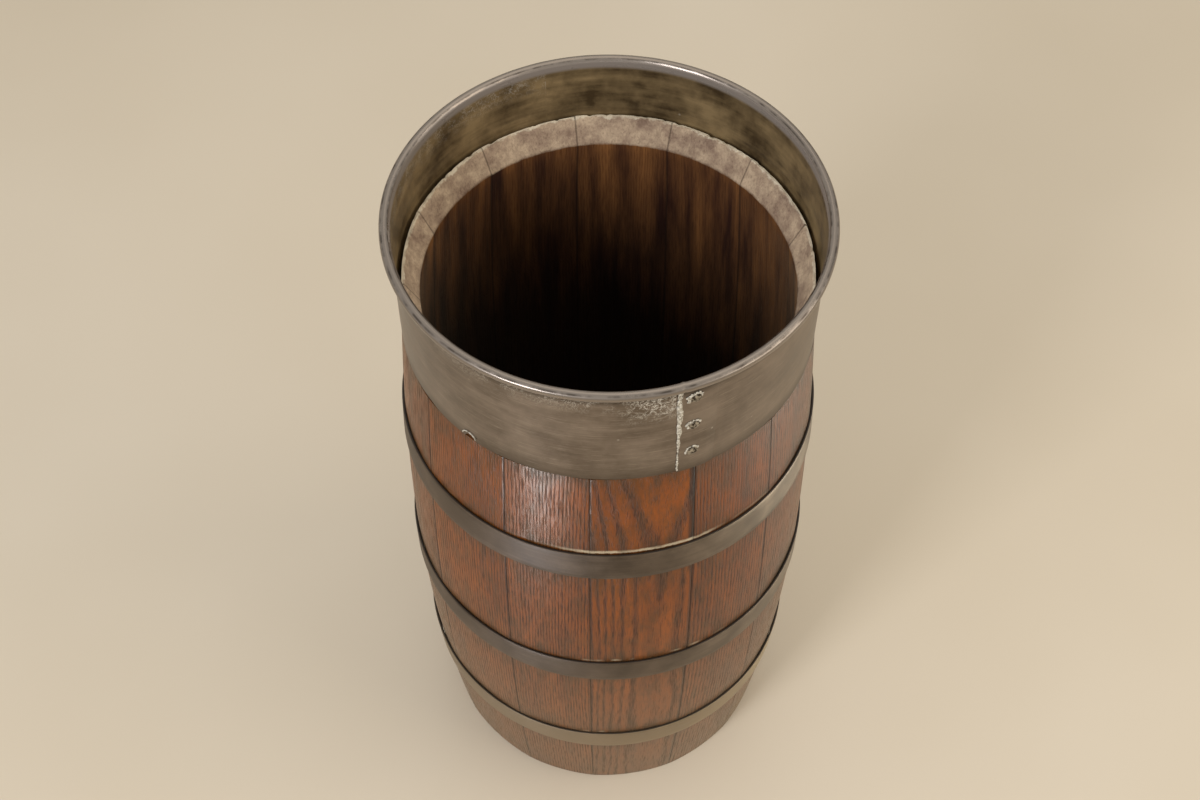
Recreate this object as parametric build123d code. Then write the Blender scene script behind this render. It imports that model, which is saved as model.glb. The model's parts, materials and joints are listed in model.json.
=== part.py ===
from build123d import *
import math
import os

# A slim oak barrel, open at the top: thirteen staves, three riveted iron hoops, a boarded bottom
# head seated in a groove, and a sheet-metal collar with a wired rim round the stave tops.
#
# Millimetres and degrees. The origin is on the floor in the middle of the foot, +Z is up, and
# -Y is the front. Angles run round +Z from +X, so the front is at -90.

# ---- Staves ----
STAVE_HEIGHT = 526.0
STAVE_THICKNESS = 12.5
BILGE_RADIUS = 152.2  # outside, at the widest line
BILGE_HEIGHT = 230.0  # height of the widest line
FOOT_TAPER = 14.2  # how much smaller the outside radius is at the foot than at the bilge
TOP_TAPER = 14.7  # the same at the stave tops
# Widths round the bilge, from the front stave towards +X. Their ratios share out the circle.
STAVE_WIDTHS = [74, 68, 73, 73, 78, 73, 78, 81, 81, 72, 66, 75, 63]
FIRST_JOINT_ANGLE = -94.9
JOINT_EASE = 0.5  # bevel on the outside edges of each stave
CHIME_FLAT = 1.5  # what is left of the stave's end outside the top bevel
CHIME_BEVEL_DROP = 19.0
FOOT_FLAT = 6.0  # width of the ring that stands on the floor, outside the inner bevel
FOOT_BEVEL_RISE = 12.0
FOOT_EASE = 1.2  # bevel on the outside bottom edge

# ---- Bottom head, four boards across X ----
HEAD_THICKNESS = 12.0
HEAD_BEVEL = 11.0  # width of the sloped margin on each side
TONGUE_THICKNESS = 6.0
TONGUE_SHOULDER = 1.0  # straight part of the tongue that shows inside the groove
TONGUE_PLAY = 0.2  # between the tongue's tip and the bottom of the groove, and above it
CROZE_HEIGHT = 30.0  # floor to the lower side of the groove
CROZE_DEPTH = 4.0
CENTRE_BOARD_SHARE = 0.5  # width of each middle board over the head's radius
DOWEL_RADIUS = 3.0
DOWEL_LENGTH = 30.0
DOWEL_END_PLAY = 1.0
DOWEL_SPREAD_SHARE = 0.44  # middle of the head to each row of dowels, over the head's radius

# ---- Hoops ----
HOOP_THICKNESS = 1.8
UPPER_HOOP_WIDTH = 28.0
UPPER_HOOP_DROP = 131.0  # from the stave tops down to the hoop's top edge
BILGE_HOOP_WIDTH = 26.0
BILGE_HOOP_RISE = 15.0  # from the widest line up to the hoop's top edge
LOWER_HOOP_WIDTH = 26.0
LOWER_HOOP_TOP = 112.0
HOOP_LAP_LENGTH = 36.0
HOOP_LAP_RAMP = 10.0  # where the outer layer comes down beside the lap
HOOP_LAP_ANGLE = 84.0
HOOP_RIVET_SPACING = 16.0
HOOP_RIVET_HEAD_RADIUS = 4.2
HOOP_RIVET_HEAD_HEIGHT = 1.9
HOOP_RIVET_SHANK_RADIUS = 2.2
HOOP_RIVET_SHORTFALL = 0.1  # the hammered end stops this far short of the wood

# ---- Collar ----
SHEET = 0.9
COLLAR_OVERLAP = 48.0  # how far it comes down over the staves
COLLAR_RISE = 49.0  # how far it stands above them
WIRE_RADIUS = 2.4
CURL_SWEEP = 300.0  # how far the sheet turns round the wire
CURL_GAP = 0.5  # between the curl and the top of the lap
COLLAR_SEAM_ANGLE = -72.2  # free edge of the outer sheet
COLLAR_LAP = 18.0
COLLAR_LAP_RAMP = 7.0
COLLAR_RIVET_DROPS = [19.0, 47.5, 75.5]  # below the top of the rim
COLLAR_RIVET_HEAD_RADIUS = 4.2
COLLAR_RIVET_HEAD_HEIGHT = 1.6
COLLAR_RIVET_SHANK_RADIUS = 2.0
COLLAR_RIVET_TAIL_RADIUS = 3.2
COLLAR_RIVET_TAIL_HEIGHT = 0.7
RIVET_CLEARANCE = 0.3  # round each rivet's tail, in the wood behind it

# ---- Worked out from the above ----
COLLAR_FOOT = STAVE_HEIGHT - COLLAR_OVERLAP
RIM_HEIGHT = STAVE_HEIGHT + COLLAR_RISE
BEAD_RADIUS = WIRE_RADIUS + SHEET
BEAD_HEIGHT = RIM_HEIGHT - BEAD_RADIUS
BEYOND = 2 * BILGE_RADIUS  # larger than anything that a cutter has to clear
HOLE_LENGTH = 8 * HOOP_THICKNESS  # a rivet hole's cutter, through every layer of hoop or sheet
NEAR_OUTSIDE = STAVE_THICKNESS / 4
UPRIGHT = 0.9  # vertical part of an edge's direction, past which the edge runs along the stave


def bend_radius(height):
    """Radius of the arc that the outside follows on this height's side of the bilge."""
    above = height > BILGE_HEIGHT
    rise = STAVE_HEIGHT - BILGE_HEIGHT if above else BILGE_HEIGHT
    taper = TOP_TAPER if above else FOOT_TAPER
    return (rise**2 + taper**2) / (2 * taper)


def radius_at(height, offset=0.0):
    """Distance from the axis to the outside of the staves, or to a surface outside it by offset."""
    bend = bend_radius(height)
    return BILGE_RADIUS - bend + math.sqrt((bend + offset) ** 2 - (height - BILGE_HEIGHT) ** 2)


def lean_at(height):
    """How far the outward normal points up from level."""
    return math.degrees(math.asin((height - BILGE_HEIGHT) / bend_radius(height)))


def outline(points):
    """A flat face in the XZ plane with straight sides through (radius, height) points."""
    corners = [(radius, 0, height) for radius, height in points]
    return make_face(Polyline(*corners, close=True))


def band(low, high):
    """A flat face across the whole wall between two heights."""
    return outline([(0, low), (BEYOND, low), (BEYOND, high), (0, high)])


def side_arc(start, end, offset):
    """The bent side of the wall between two heights, at an offset from the outside."""
    heights = (start, (start + end) / 2, end)
    middle = heights[1]
    points = []
    for height in heights:
        bend = bend_radius(middle)
        reach = math.sqrt((bend + offset) ** 2 - (height - BILGE_HEIGHT) ** 2)
        points.append((BILGE_RADIUS - bend + reach, 0, height))
    return ThreePointArc(*points)


def wall_section(inner, outer):
    """The wall between two offsets from the outside of the staves, from foot to top."""
    sides = [
        side_arc(0, BILGE_HEIGHT, outer),
        side_arc(BILGE_HEIGHT, STAVE_HEIGHT, outer),
        side_arc(STAVE_HEIGHT, BILGE_HEIGHT, inner),
        side_arc(BILGE_HEIGHT, 0, inner),
    ]
    top = Line(sides[1] @ 1, sides[2] @ 0)
    foot = Line(sides[3] @ 1, sides[0] @ 0)
    return make_face([sides[0], sides[1], top, sides[2], sides[3], foot])


def on_wall(angle, height, radius, lean=0.0):
    """Place with local X along the outward normal of a wall that leans in by so many degrees."""
    return Rot(0, 0, angle) * Pos(radius, 0, height) * Rot(0, -lean, 0)


def rivet(grip_start, grip_end, head_radius, head_height, shank_radius):
    """A rivet along local X: a shank through the grip with a domed head outside."""
    start = (grip_start, 0, 0)
    crown = (grip_end + head_height, 0, 0)
    rim = (grip_end, 0, head_radius)
    dome = (head_radius**2 + head_height**2) / (2 * head_height)
    half_turn = math.asin(head_radius / dome) / 2
    halfway = (crown[0] - dome * (1 - math.cos(half_turn)), 0, dome * math.sin(half_turn))
    profile = [
        Polyline(start, (grip_start, 0, shank_radius), (grip_end, 0, shank_radius), rim),
        ThreePointArc(rim, halfway, crown),
        Line(crown, start),
    ]
    return revolve(make_face(profile), axis=Axis.X)


def lap_layer(section, start, lap, ramp, surface, height, thickness, lean=0.0):
    """The outer layer of a lapped strip: square free end at start, tapering to nothing at the other.

    section is the layer's own section, surface the radius under it at the given height, lap and
    ramp are lengths round the strip, and lean is the strip's own.
    """
    lap_turn = math.degrees(lap / surface)
    ramp_turn = math.degrees(ramp / surface)
    layer = Rot(0, 0, start) * revolve(section, axis=Axis.Z, revolution_arc=lap_turn + ramp_turn)
    ramp_top = on_wall(start + lap_turn, height, surface + thickness, lean).position
    ramp_foot = on_wall(start + lap_turn + ramp_turn, height, surface, lean).position
    up_strip = (on_wall(start + lap_turn, 0, 0, lean) * Pos(0, 0, 1)).position
    slope = (ramp_foot - ramp_top).normalized()
    cutter = Box(BEYOND, BEYOND, BEYOND, align=(Align.CENTER, Align.CENTER, Align.MIN))
    return layer - Plane(origin=ramp_top, x_dir=slope, z_dir=slope.cross(up_strip)) * cutter


def stave_cuts():
    """Sections of what is cut from the bent wall: end bevels, the head's groove, the collar's seat."""
    bevel_foot = STAVE_HEIGHT - CHIME_BEVEL_DROP
    groove_top = CROZE_HEIGHT + TONGUE_THICKNESS + TONGUE_PLAY
    seat = collar_inside_radius()
    collar_seat = [(seat, COLLAR_FOOT), (BEYOND, COLLAR_FOOT), (BEYOND, RIM_HEIGHT), (seat, RIM_HEIGHT)]
    top_bevel = [
        (radius_at(STAVE_HEIGHT) - CHIME_FLAT, STAVE_HEIGHT),
        (radius_at(bevel_foot, -STAVE_THICKNESS), bevel_foot),
        (0, bevel_foot),
        (0, STAVE_HEIGHT),
    ]
    foot_bevel = [
        (radius_at(0) - FOOT_FLAT, 0),
        (radius_at(FOOT_BEVEL_RISE, -STAVE_THICKNESS), FOOT_BEVEL_RISE),
        (0, FOOT_BEVEL_RISE),
        (0, 0),
    ]
    foot_ease = [
        (radius_at(0) - FOOT_EASE, 0),
        (radius_at(FOOT_EASE), FOOT_EASE),
        (BEYOND, FOOT_EASE),
        (BEYOND, 0),
    ]
    croze = [
        (0, CROZE_HEIGHT),
        (croze_radius(), CROZE_HEIGHT),
        (croze_radius(), groove_top),
        (0, groove_top),
    ]
    return [collar_seat, top_bevel, foot_bevel, foot_ease, croze]


def croze_radius():
    """Radius of the bottom of the groove that holds the head."""
    return radius_at(CROZE_HEIGHT + TONGUE_THICKNESS / 2, -STAVE_THICKNESS) + CROZE_DEPTH


def is_outside_joint_edge(edge):
    """True for the long edges where a stave's sides meet its outside."""
    middle = edge @ 0.5
    from_axis = math.hypot(middle.X, middle.Y)
    along_stave = abs((edge % 0.5).Z) > UPRIGHT
    return along_stave and abs(from_axis - radius_at(middle.Z)) < NEAR_OUTSIDE


def rivet_pockets():
    """Room in the wood behind the tails of the collar's rivets."""
    depth = collar_inside_radius() - tail_set_back() - COLLAR_RIVET_TAIL_HEIGHT - RIVET_CLEARANCE
    pocket = Cylinder(
        COLLAR_RIVET_TAIL_RADIUS + RIVET_CLEARANCE,
        BEYOND,
        rotation=(0, 90, 0),
        align=(Align.CENTER, Align.CENTER, Align.MIN),
    )
    turned = Rot(0, 0, collar_rivet_angle())
    return [turned * Pos(depth, 0, RIM_HEIGHT - drop) * pocket for drop in COLLAR_RIVET_DROPS]


def make_staves():
    """Every stave, from the front one towards +X."""
    cutters = [revolve(outline(cut), axis=Axis.Z) for cut in stave_cuts()] + rivet_pockets()
    wall = wall_section(-STAVE_THICKNESS, 0)
    staves = {}
    start = FIRST_JOINT_ANGLE
    for number, width in enumerate(STAVE_WIDTHS, start=1):
        turn = 360 * width / sum(STAVE_WIDTHS)
        stave = revolve(wall, axis=Axis.Z, revolution_arc=turn)
        edges = stave.edges().filter_by(is_outside_joint_edge)
        stave = Rot(0, 0, start) * chamfer(edges, JOINT_EASE)
        for cutter in cutters:
            stave -= cutter
        staves[f"stave_{number:02d}"] = stave
        start += turn
    return staves


def make_head():
    """The four boards of the bottom head and the dowels between them."""
    tip = croze_radius() - TONGUE_PLAY
    shoulder = radius_at(CROZE_HEIGHT, -STAVE_THICKNESS) - TONGUE_SHOULDER
    tongue_top = CROZE_HEIGHT + TONGUE_THICKNESS
    underside = CROZE_HEIGHT - (HEAD_THICKNESS - TONGUE_THICKNESS) / 2
    top = underside + HEAD_THICKNESS
    disc = revolve(
        outline(
            [
                (0, underside),
                (shoulder - HEAD_BEVEL, underside),
                (shoulder, CROZE_HEIGHT),
                (tip, CROZE_HEIGHT),
                (tip, tongue_top),
                (shoulder, tongue_top),
                (shoulder - HEAD_BEVEL, top),
                (0, top),
            ]
        ),
        axis=Axis.Z,
    )
    board_width = CENTRE_BOARD_SHARE * tip
    dowel_spread = DOWEL_SPREAD_SHARE * tip
    joints = [-board_width, 0.0, board_width]
    middle = underside + HEAD_THICKNESS / 2
    dowels = []
    holes = []
    for joint in joints:
        for row in (-dowel_spread, dowel_spread):
            place = Pos(joint, row, middle) * Rot(0, 90, 0)
            dowels.append(place * Cylinder(DOWEL_RADIUS, DOWEL_LENGTH))
            holes.append(place * Cylinder(DOWEL_RADIUS, DOWEL_LENGTH + 2 * DOWEL_END_PLAY))
    for hole in holes:
        disc -= hole
    edges = [-BEYOND] + joints + [BEYOND]
    names = ["head_cant_left", "head_board_left", "head_board_right", "head_cant_right"]
    pieces = {}
    for name, left, right in zip(names, edges, edges[1:]):
        slab = Box(right - left, BEYOND, BEYOND, align=(Align.MIN, Align.CENTER, Align.CENTER))
        pieces[name] = disc & (Pos(left, 0, 0) * slab)
    pieces["head_dowels"] = Compound(dowels)
    return pieces


def make_hoop(top, width):
    """One iron hoop with its lapped ends riveted, and its two rivets."""
    height = top - width / 2
    trim = band(top - width, top)
    ring = revolve(wall_section(0, HOOP_THICKNESS) & trim, axis=Axis.Z)
    outside = radius_at(height, HOOP_THICKNESS)
    lean = lean_at(height)
    lap_turn = math.degrees(HOOP_LAP_LENGTH / outside)
    start = HOOP_LAP_ANGLE - lap_turn / 2
    layer = wall_section(HOOP_THICKNESS, 2 * HOOP_THICKNESS) & trim
    lap = (HOOP_LAP_LENGTH, HOOP_LAP_RAMP)
    ring += lap_layer(layer, start, *lap, outside, height, HOOP_THICKNESS, lean)
    spacing_turn = math.degrees(HOOP_RIVET_SPACING / outside)
    rivets = []
    for side in (-0.5, 0.5):
        place = on_wall(HOOP_LAP_ANGLE + side * spacing_turn, height, radius_at(height), lean)
        body = rivet(
            HOOP_RIVET_SHORTFALL,
            2 * HOOP_THICKNESS,
            HOOP_RIVET_HEAD_RADIUS,
            HOOP_RIVET_HEAD_HEIGHT,
            HOOP_RIVET_SHANK_RADIUS,
        )
        hole = Cylinder(HOOP_RIVET_SHANK_RADIUS, HOLE_LENGTH, rotation=(0, 90, 0))
        rivets.append(place * body)
        ring -= place * hole
    return ring, Compound(rivets)


def collar_inside_radius():
    """Inside of the collar's wall: its outside is flush with the wood at its lower edge."""
    return radius_at(COLLAR_FOOT) - SHEET


def collar_rivet_angle():
    """The rivets run down the middle of the lap."""
    outside = collar_inside_radius() + SHEET
    return COLLAR_SEAM_ANGLE + math.degrees(COLLAR_LAP / outside) / 2


def tail_set_back():
    """How far a flat rivet tail stands off the crown of the collar's round inside."""
    inside = collar_inside_radius()
    return inside - math.sqrt(inside**2 - COLLAR_RIVET_TAIL_RADIUS**2)


def make_collar():
    """The sheet collar with its curled rim and lapped seam, the wire in the rim, and the rivets."""
    inside = collar_inside_radius()
    outside = inside + SHEET
    centre = inside + BEAD_RADIUS

    def round_bead(radius, degrees):
        turn = math.radians(degrees)
        return (centre + radius * math.cos(turn), 0, BEAD_HEIGHT + radius * math.sin(turn))

    curl_end = 180 - CURL_SWEEP
    curl_middle = 180 - CURL_SWEEP / 2
    section = make_face(
        [
            Line((inside, 0, COLLAR_FOOT), round_bead(BEAD_RADIUS, 180)),
            ThreePointArc(
                round_bead(BEAD_RADIUS, 180),
                round_bead(BEAD_RADIUS, curl_middle),
                round_bead(BEAD_RADIUS, curl_end),
            ),
            Line(round_bead(BEAD_RADIUS, curl_end), round_bead(WIRE_RADIUS, curl_end)),
            ThreePointArc(
                round_bead(WIRE_RADIUS, curl_end),
                round_bead(WIRE_RADIUS, curl_middle),
                round_bead(WIRE_RADIUS, 180),
            ),
            Line(round_bead(WIRE_RADIUS, 180), (outside, 0, COLLAR_FOOT)),
            Line((outside, 0, COLLAR_FOOT), (inside, 0, COLLAR_FOOT)),
        ]
    )
    collar = revolve(section, axis=Axis.Z)
    lap_top = BEAD_HEIGHT - BEAD_RADIUS - CURL_GAP
    layer = outline(
        [
            (outside, COLLAR_FOOT),
            (outside + SHEET, COLLAR_FOOT),
            (outside + SHEET, lap_top),
            (outside, lap_top),
        ]
    )
    middle = (COLLAR_FOOT + lap_top) / 2
    collar += lap_layer(layer, COLLAR_SEAM_ANGLE, COLLAR_LAP, COLLAR_LAP_RAMP, outside, middle, SHEET)
    rivets = []
    for drop in COLLAR_RIVET_DROPS:
        place = Rot(0, 0, collar_rivet_angle()) * Pos(0, 0, RIM_HEIGHT - drop)
        body = rivet(
            inside - tail_set_back(),
            outside + SHEET,
            COLLAR_RIVET_HEAD_RADIUS,
            COLLAR_RIVET_HEAD_HEIGHT,
            COLLAR_RIVET_SHANK_RADIUS,
        )
        tail = Cylinder(
            COLLAR_RIVET_TAIL_RADIUS,
            COLLAR_RIVET_TAIL_HEIGHT,
            rotation=(0, 90, 0),
            align=(Align.CENTER, Align.CENTER, Align.MAX),
        )
        body += Pos(inside - tail_set_back(), 0, 0) * tail
        hole = Pos(outside, 0, 0) * Cylinder(COLLAR_RIVET_SHANK_RADIUS, HOLE_LENGTH, rotation=(0, 90, 0))
        rivets.append(place * body)
        collar -= place * hole
    wire = Pos(0, 0, BEAD_HEIGHT) * Torus(centre, WIRE_RADIUS)
    return {"collar": collar, "rim_wire": wire, "collar_rivets": Compound(rivets)}


def make_hoops():
    """The three hoops and their rivets, from the top down."""
    hoops = [
        ("upper_hoop", STAVE_HEIGHT - UPPER_HOOP_DROP, UPPER_HOOP_WIDTH),
        ("bilge_hoop", BILGE_HEIGHT + BILGE_HOOP_RISE, BILGE_HOOP_WIDTH),
        ("lower_hoop", LOWER_HOOP_TOP, LOWER_HOOP_WIDTH),
    ]
    pieces = {}
    for name, top, width in hoops:
        pieces[name], pieces[f"{name}_rivets"] = make_hoop(top, width)
    return pieces


nodes = {**make_staves(), **make_head(), **make_hoops(), **make_collar()}
os.makedirs("parts", exist_ok=True)
for name, shape in nodes.items():
    export_step(shape, f"parts/{name}.step")
    print(name, round(shape.volume), "mm3")
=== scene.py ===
"""A slim oak barrel with three iron hoops and a riveted sheet-metal collar.

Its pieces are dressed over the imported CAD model. Lengths are in metres. The origin is on the floor under
the middle of the foot, +Z is up and -Y is the front. Angles run round +Z from +X, in degrees, so the front
is at -90.
"""

import json
import logging
import math
import random
from dataclasses import dataclass
from enum import Enum
from typing import Any, Callable

import bmesh
import bpy
from mathutils import Matrix, Vector, noise

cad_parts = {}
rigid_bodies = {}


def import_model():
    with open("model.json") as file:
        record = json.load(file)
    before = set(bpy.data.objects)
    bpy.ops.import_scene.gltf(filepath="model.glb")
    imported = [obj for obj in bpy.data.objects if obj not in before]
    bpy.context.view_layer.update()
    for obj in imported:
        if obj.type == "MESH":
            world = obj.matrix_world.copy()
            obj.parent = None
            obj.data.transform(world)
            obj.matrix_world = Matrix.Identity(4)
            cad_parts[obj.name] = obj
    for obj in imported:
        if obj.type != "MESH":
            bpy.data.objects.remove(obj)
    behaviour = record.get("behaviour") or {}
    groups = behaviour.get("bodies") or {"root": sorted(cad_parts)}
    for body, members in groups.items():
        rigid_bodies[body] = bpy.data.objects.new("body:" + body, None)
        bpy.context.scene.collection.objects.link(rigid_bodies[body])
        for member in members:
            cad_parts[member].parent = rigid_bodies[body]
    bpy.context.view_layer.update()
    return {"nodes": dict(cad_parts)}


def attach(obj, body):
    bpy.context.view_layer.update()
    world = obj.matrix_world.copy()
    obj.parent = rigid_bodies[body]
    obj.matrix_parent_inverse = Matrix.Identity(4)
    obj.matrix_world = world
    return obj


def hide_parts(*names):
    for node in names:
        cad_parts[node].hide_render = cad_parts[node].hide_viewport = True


Colour = tuple[float, float, float, float]
Material = bpy.types.Material
Object = bpy.types.Object
Outline = list[tuple[float, float]]
Shape = bmesh.types.BMesh
Socket = bpy.types.NodeSocket

MM = 0.001
FULL_TURN = 360.0
EASE_SEGMENTS = 2
SKIN = 0.3 * MM  # how near to a face a point counts as on it
LOG = logging.getLogger("barrel")


class Slot(Enum):
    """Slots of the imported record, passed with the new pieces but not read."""

    STAVES = "oak_staves"
    HOOP = "hoop_iron"
    HOOP_RIVET = "hoop_rivets"
    COLLAR = "collar_sheet"
    COLLAR_RIVET = "collar_rivets"


# ---- The bent wall and the hoops that everything follows ----


@dataclass(frozen=True)
class Strip:
    """Where one hoop sits and how wide its strip is."""

    name: str
    top: float
    width: float


HOOPS = (
    Strip("upper_hoop", 395 * MM, 28 * MM),
    Strip("bilge_hoop", 245 * MM, 26 * MM),
    Strip("lower_hoop", 112 * MM, 26 * MM),
)


@dataclass(frozen=True)
class Shell:
    """The outside of the staves: one arc above the widest line and one below it."""

    height: float = 526 * MM
    thickness: float = 12.5 * MM
    bilge_radius: float = 152.2 * MM
    bilge_height: float = 230 * MM
    foot_taper: float = 14.2 * MM
    top_taper: float = 14.7 * MM
    collar_foot: float = 478 * MM
    sheet: float = 0.9 * MM

    def bend(self, height: float) -> float:
        """Radius of the arc on one side of the bilge.

        Args:
            height: A height on that side.

        Returns:
            The arc's radius.
        """
        above = height > self.bilge_height
        rise = self.height - self.bilge_height if above else self.bilge_height
        taper = self.top_taper if above else self.foot_taper
        return (rise**2 + taper**2) / (2 * taper)

    def radius(self, height: float, offset: float = 0.0) -> float:
        """Distance from the axis to a surface outside the staves.

        Args:
            height: Height over the floor.
            offset: How far outside the wood the surface is, negative for inside it.

        Returns:
            The radius at that height.
        """
        bend = self.bend(height)
        reach = math.sqrt((bend + offset) ** 2 - (height - self.bilge_height) ** 2)
        return self.bilge_radius - bend + reach

    def lean(self, height: float) -> float:
        """How far the outward normal points up from level, in radians."""
        return math.asin((height - self.bilge_height) / self.bend(height))

    @property
    def collar_inside(self) -> float:
        """Inside radius of the collar, whose outside is flush with the wood at its lower edge."""
        return self.radius(self.collar_foot) - self.sheet


# ---- Mesh helpers ----


@dataclass(frozen=True)
class Hump:
    """A smooth rise and fall along a line."""

    height: float
    middle: float
    width: float
    power: int = 2  # the higher, the flatter its top

    def at(self, place: float) -> float:
        """How high it is at a place."""
        return self.height * math.exp(-(((place - self.middle) / self.width) ** self.power))


def around(angle: float, radius: float, height: float) -> Vector:
    """A point at an angle in degrees round the axis."""
    turn = math.radians(angle)
    return Vector((radius * math.cos(turn), radius * math.sin(turn), height))


def turn_past(point: Vector, zero: float) -> float:
    """Angle of a point round the axis past a zero angle, from 0 to 360 degrees."""
    return (math.degrees(math.atan2(point.y, point.x)) - zero) % FULL_TURN


def turn_from(point: Vector, zero: float) -> float:
    """Angle of a point round the axis from a zero angle, from -180 to 180 degrees."""
    return turn_past(point, zero - 180) - 180


def spread(start: float, end: float, count: int) -> list[float]:
    """Values from start to end inclusive, evenly spaced in count steps."""
    return [start + (end - start) * step / count for step in range(count + 1)]


def limit(value: float, low: float = 0.0, high: float = 1.0) -> float:
    """The value, kept between a lowest and a highest one."""
    return min(high, max(low, value))


def waver(point: Vector, grain: float, seed: float = 0.0) -> float:
    """Smooth noise at a point, about -1 to 1, with waves of one size; a seed picks another pattern."""
    return noise.noise(point / grain + Vector((seed, seed * 0.7, -seed)))


def waver_at(place: float, grain: float, seed: float = 0.0) -> float:
    """Smooth noise along a line, here up the height."""
    return waver(Vector((0, 0, place)), grain, seed)


def spin_section(shape: Shape, angle: float, section: Outline, sweep: float, steps: int) -> set:
    """Spins a closed section about the barrel's axis.

    Args:
        shape: The mesh that it is added to.
        angle: Angle where it starts.
        section: The section's (radius, height) corners in order.
        sweep: Degrees that it turns; a full turn is closed, and any other has both ends filled.
        steps: How many steps the turn takes.

    Returns:
        The new vertices.
    """
    known = set(shape.verts)
    corners = [shape.verts.new(around(angle, radius, height)) for radius, height in section]
    sides = [shape.edges.new(pair) for pair in zip(corners, corners[1:] + corners[:1])]
    ends = [] if sweep == FULL_TURN else [shape.faces.new(corners)]
    bmesh.ops.spin(
        shape,
        geom=corners + sides + ends,
        cent=(0, 0, 0),
        axis=(0, 0, 1),
        angle=math.radians(sweep),
        steps=steps,
        use_merge=sweep == FULL_TURN,
        use_normal_flip=False,
        use_duplicate=False,
    )
    return set(shape.verts) - known


def ease_edges(shape: Shape, edges: list[bmesh.types.BMEdge], width: float) -> None:
    """Rounds edges over a little, as handling does.

    Args:
        shape: The mesh that holds them.
        edges: The edges.
        width: How far back from each edge the rounding starts.
    """
    bmesh.ops.bevel(
        shape,
        geom=edges,
        offset=width,
        segments=EASE_SEGMENTS,
        profile=0.5,
        affect="EDGES",
        material=-1,
    )


def add_lump(shape: Shape, size: float, stretch: Vector, seed: Vector, rough: float, place: Matrix) -> None:
    """Adds one lump of solder.

    Args:
        shape: The mesh that it is added to.
        size: Its radius before it is stretched.
        stretch: How much it is stretched along each axis.
        seed: Picks its own bumps.
        rough: How high the bumps are, as a share of its radius.
        place: Where it goes and how it is turned.
    """
    grain = 1.1 * MM
    lump = bmesh.ops.create_icosphere(shape, subdivisions=2, radius=size)["verts"]
    bmesh.ops.scale(shape, vec=stretch, verts=lump)
    for vertex in lump:
        vertex.co *= 1 + rough * waver(vertex.co + seed, grain)
    bmesh.ops.transform(shape, matrix=place, verts=lump)


def standing_at(angle: float, radius: float, height: float) -> Matrix:
    """Places a thing round the barrel with its own +X pointing out."""
    turn = Matrix.Rotation(math.radians(angle), 4, "Z")
    return Matrix.Translation(around(angle, radius, height)) @ turn


def mark_strip(
    shape: Shape, zero: float, foot: float, is_hidden_side: Callable[[float, float], bool]
) -> None:
    """Stores the run round the strip, the height up it and its other side on the vertices.

    Args:
        shape: The strip's mesh.
        zero: Angle that the run is measured from.
        foot: Height of the strip's lower edge.
        is_hidden_side: Tells from a radius and a height whether they are on its other side.
    """
    strip = shape.verts.layers.float_vector.new("strip")
    for vertex in shape.verts:
        radius, z = vertex.co.xy.length, vertex.co.z
        run = math.radians(turn_from(vertex.co, zero)) * radius
        vertex[strip] = (run, z - foot, float(is_hidden_side(radius, z)))


@dataclass(frozen=True)
class RivetHead:
    """A dome closed by hammer, with dents in its crown."""

    size: float
    rise: float
    dent: float = 0.22
    dent_grain: float = 2.4 * MM
    waist: float = 0.1
    waist_grain: float = 3 * MM

    def add(self, shape: Shape, angle: float, radius: float, height: float, lean: float = 0.0) -> None:
        """Adds the head to a mesh.

        Args:
            shape: The mesh that it is added to.
            angle: Where it is round the barrel.
            radius: Distance from the axis to the surface that it sits on.
            height: Height of its middle.
            lean: How far its axis points up, in radians.
        """
        ball = bmesh.ops.create_uvsphere(shape, u_segments=28, v_segments=16, radius=1.0)["verts"]
        shank = [vertex for vertex in ball if vertex.co.z < -0.01]
        bmesh.ops.scale(shape, vec=(self.size, self.size, self.rise), verts=ball)
        bmesh.ops.scale(shape, vec=(0.45, 0.45, 0.4), verts=shank)
        for vertex in ball:
            blow = waver(vertex.co + Vector((0, 0, height * 7 + angle)), self.dent_grain)
            vertex.co.z = min(vertex.co.z * (1 + self.dent * blow), self.rise)
            level = Vector((vertex.co.x, vertex.co.y, angle + height))
            vertex.co.xy *= 1 + self.waist * waver(level, self.waist_grain, 5.0)
        turn = Matrix.Rotation(math.radians(angle), 4, "Z") @ Matrix.Rotation(math.pi / 2 - lean, 4, "Y")
        place = Matrix.Translation(around(angle, radius, height))
        bmesh.ops.transform(shape, matrix=place @ turn, verts=ball)


def finish_piece(name: str, shape: Shape, finish: Material, slot: Slot, crease: float = 40) -> Object:
    """Turns a bmesh into a piece that rides on the barrel.

    Args:
        name: The piece's name.
        shape: Its mesh, which is freed.
        finish: Its material.
        slot: Not used.
        crease: Edges that turn by more degrees than this stay sharp.

    Returns:
        The new object.
    """
    bmesh.ops.recalc_face_normals(shape, faces=shape.faces)
    mesh = bpy.data.meshes.new(name)
    shape.to_mesh(mesh)
    shape.free()
    mesh.shade_smooth()
    mesh.set_sharp_from_angle(angle=math.radians(crease))
    mesh.materials.append(finish)
    piece = bpy.data.objects.new(name, mesh)
    bpy.context.scene.collection.objects.link(piece)
    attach(piece, "root")
    LOG.info("%s: %d faces", name, len(mesh.polygons))
    return piece


def dress(node: Object, finish: Material) -> None:
    """Gives a CAD node a finish in its own material slots.

    Args:
        node: The node's object.
        finish: Its material.
    """
    for holder in node.material_slots:
        holder.material = finish
    LOG.info("%s: dressed", node.name)


# ---- Finishes ----

COLOURS = {"data_type": "RGBA"}
SHARE, UNDER, OVER = 0, 6, 7  # inputs of a Mix node that mixes colours
MIXED = 2  # its output


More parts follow.
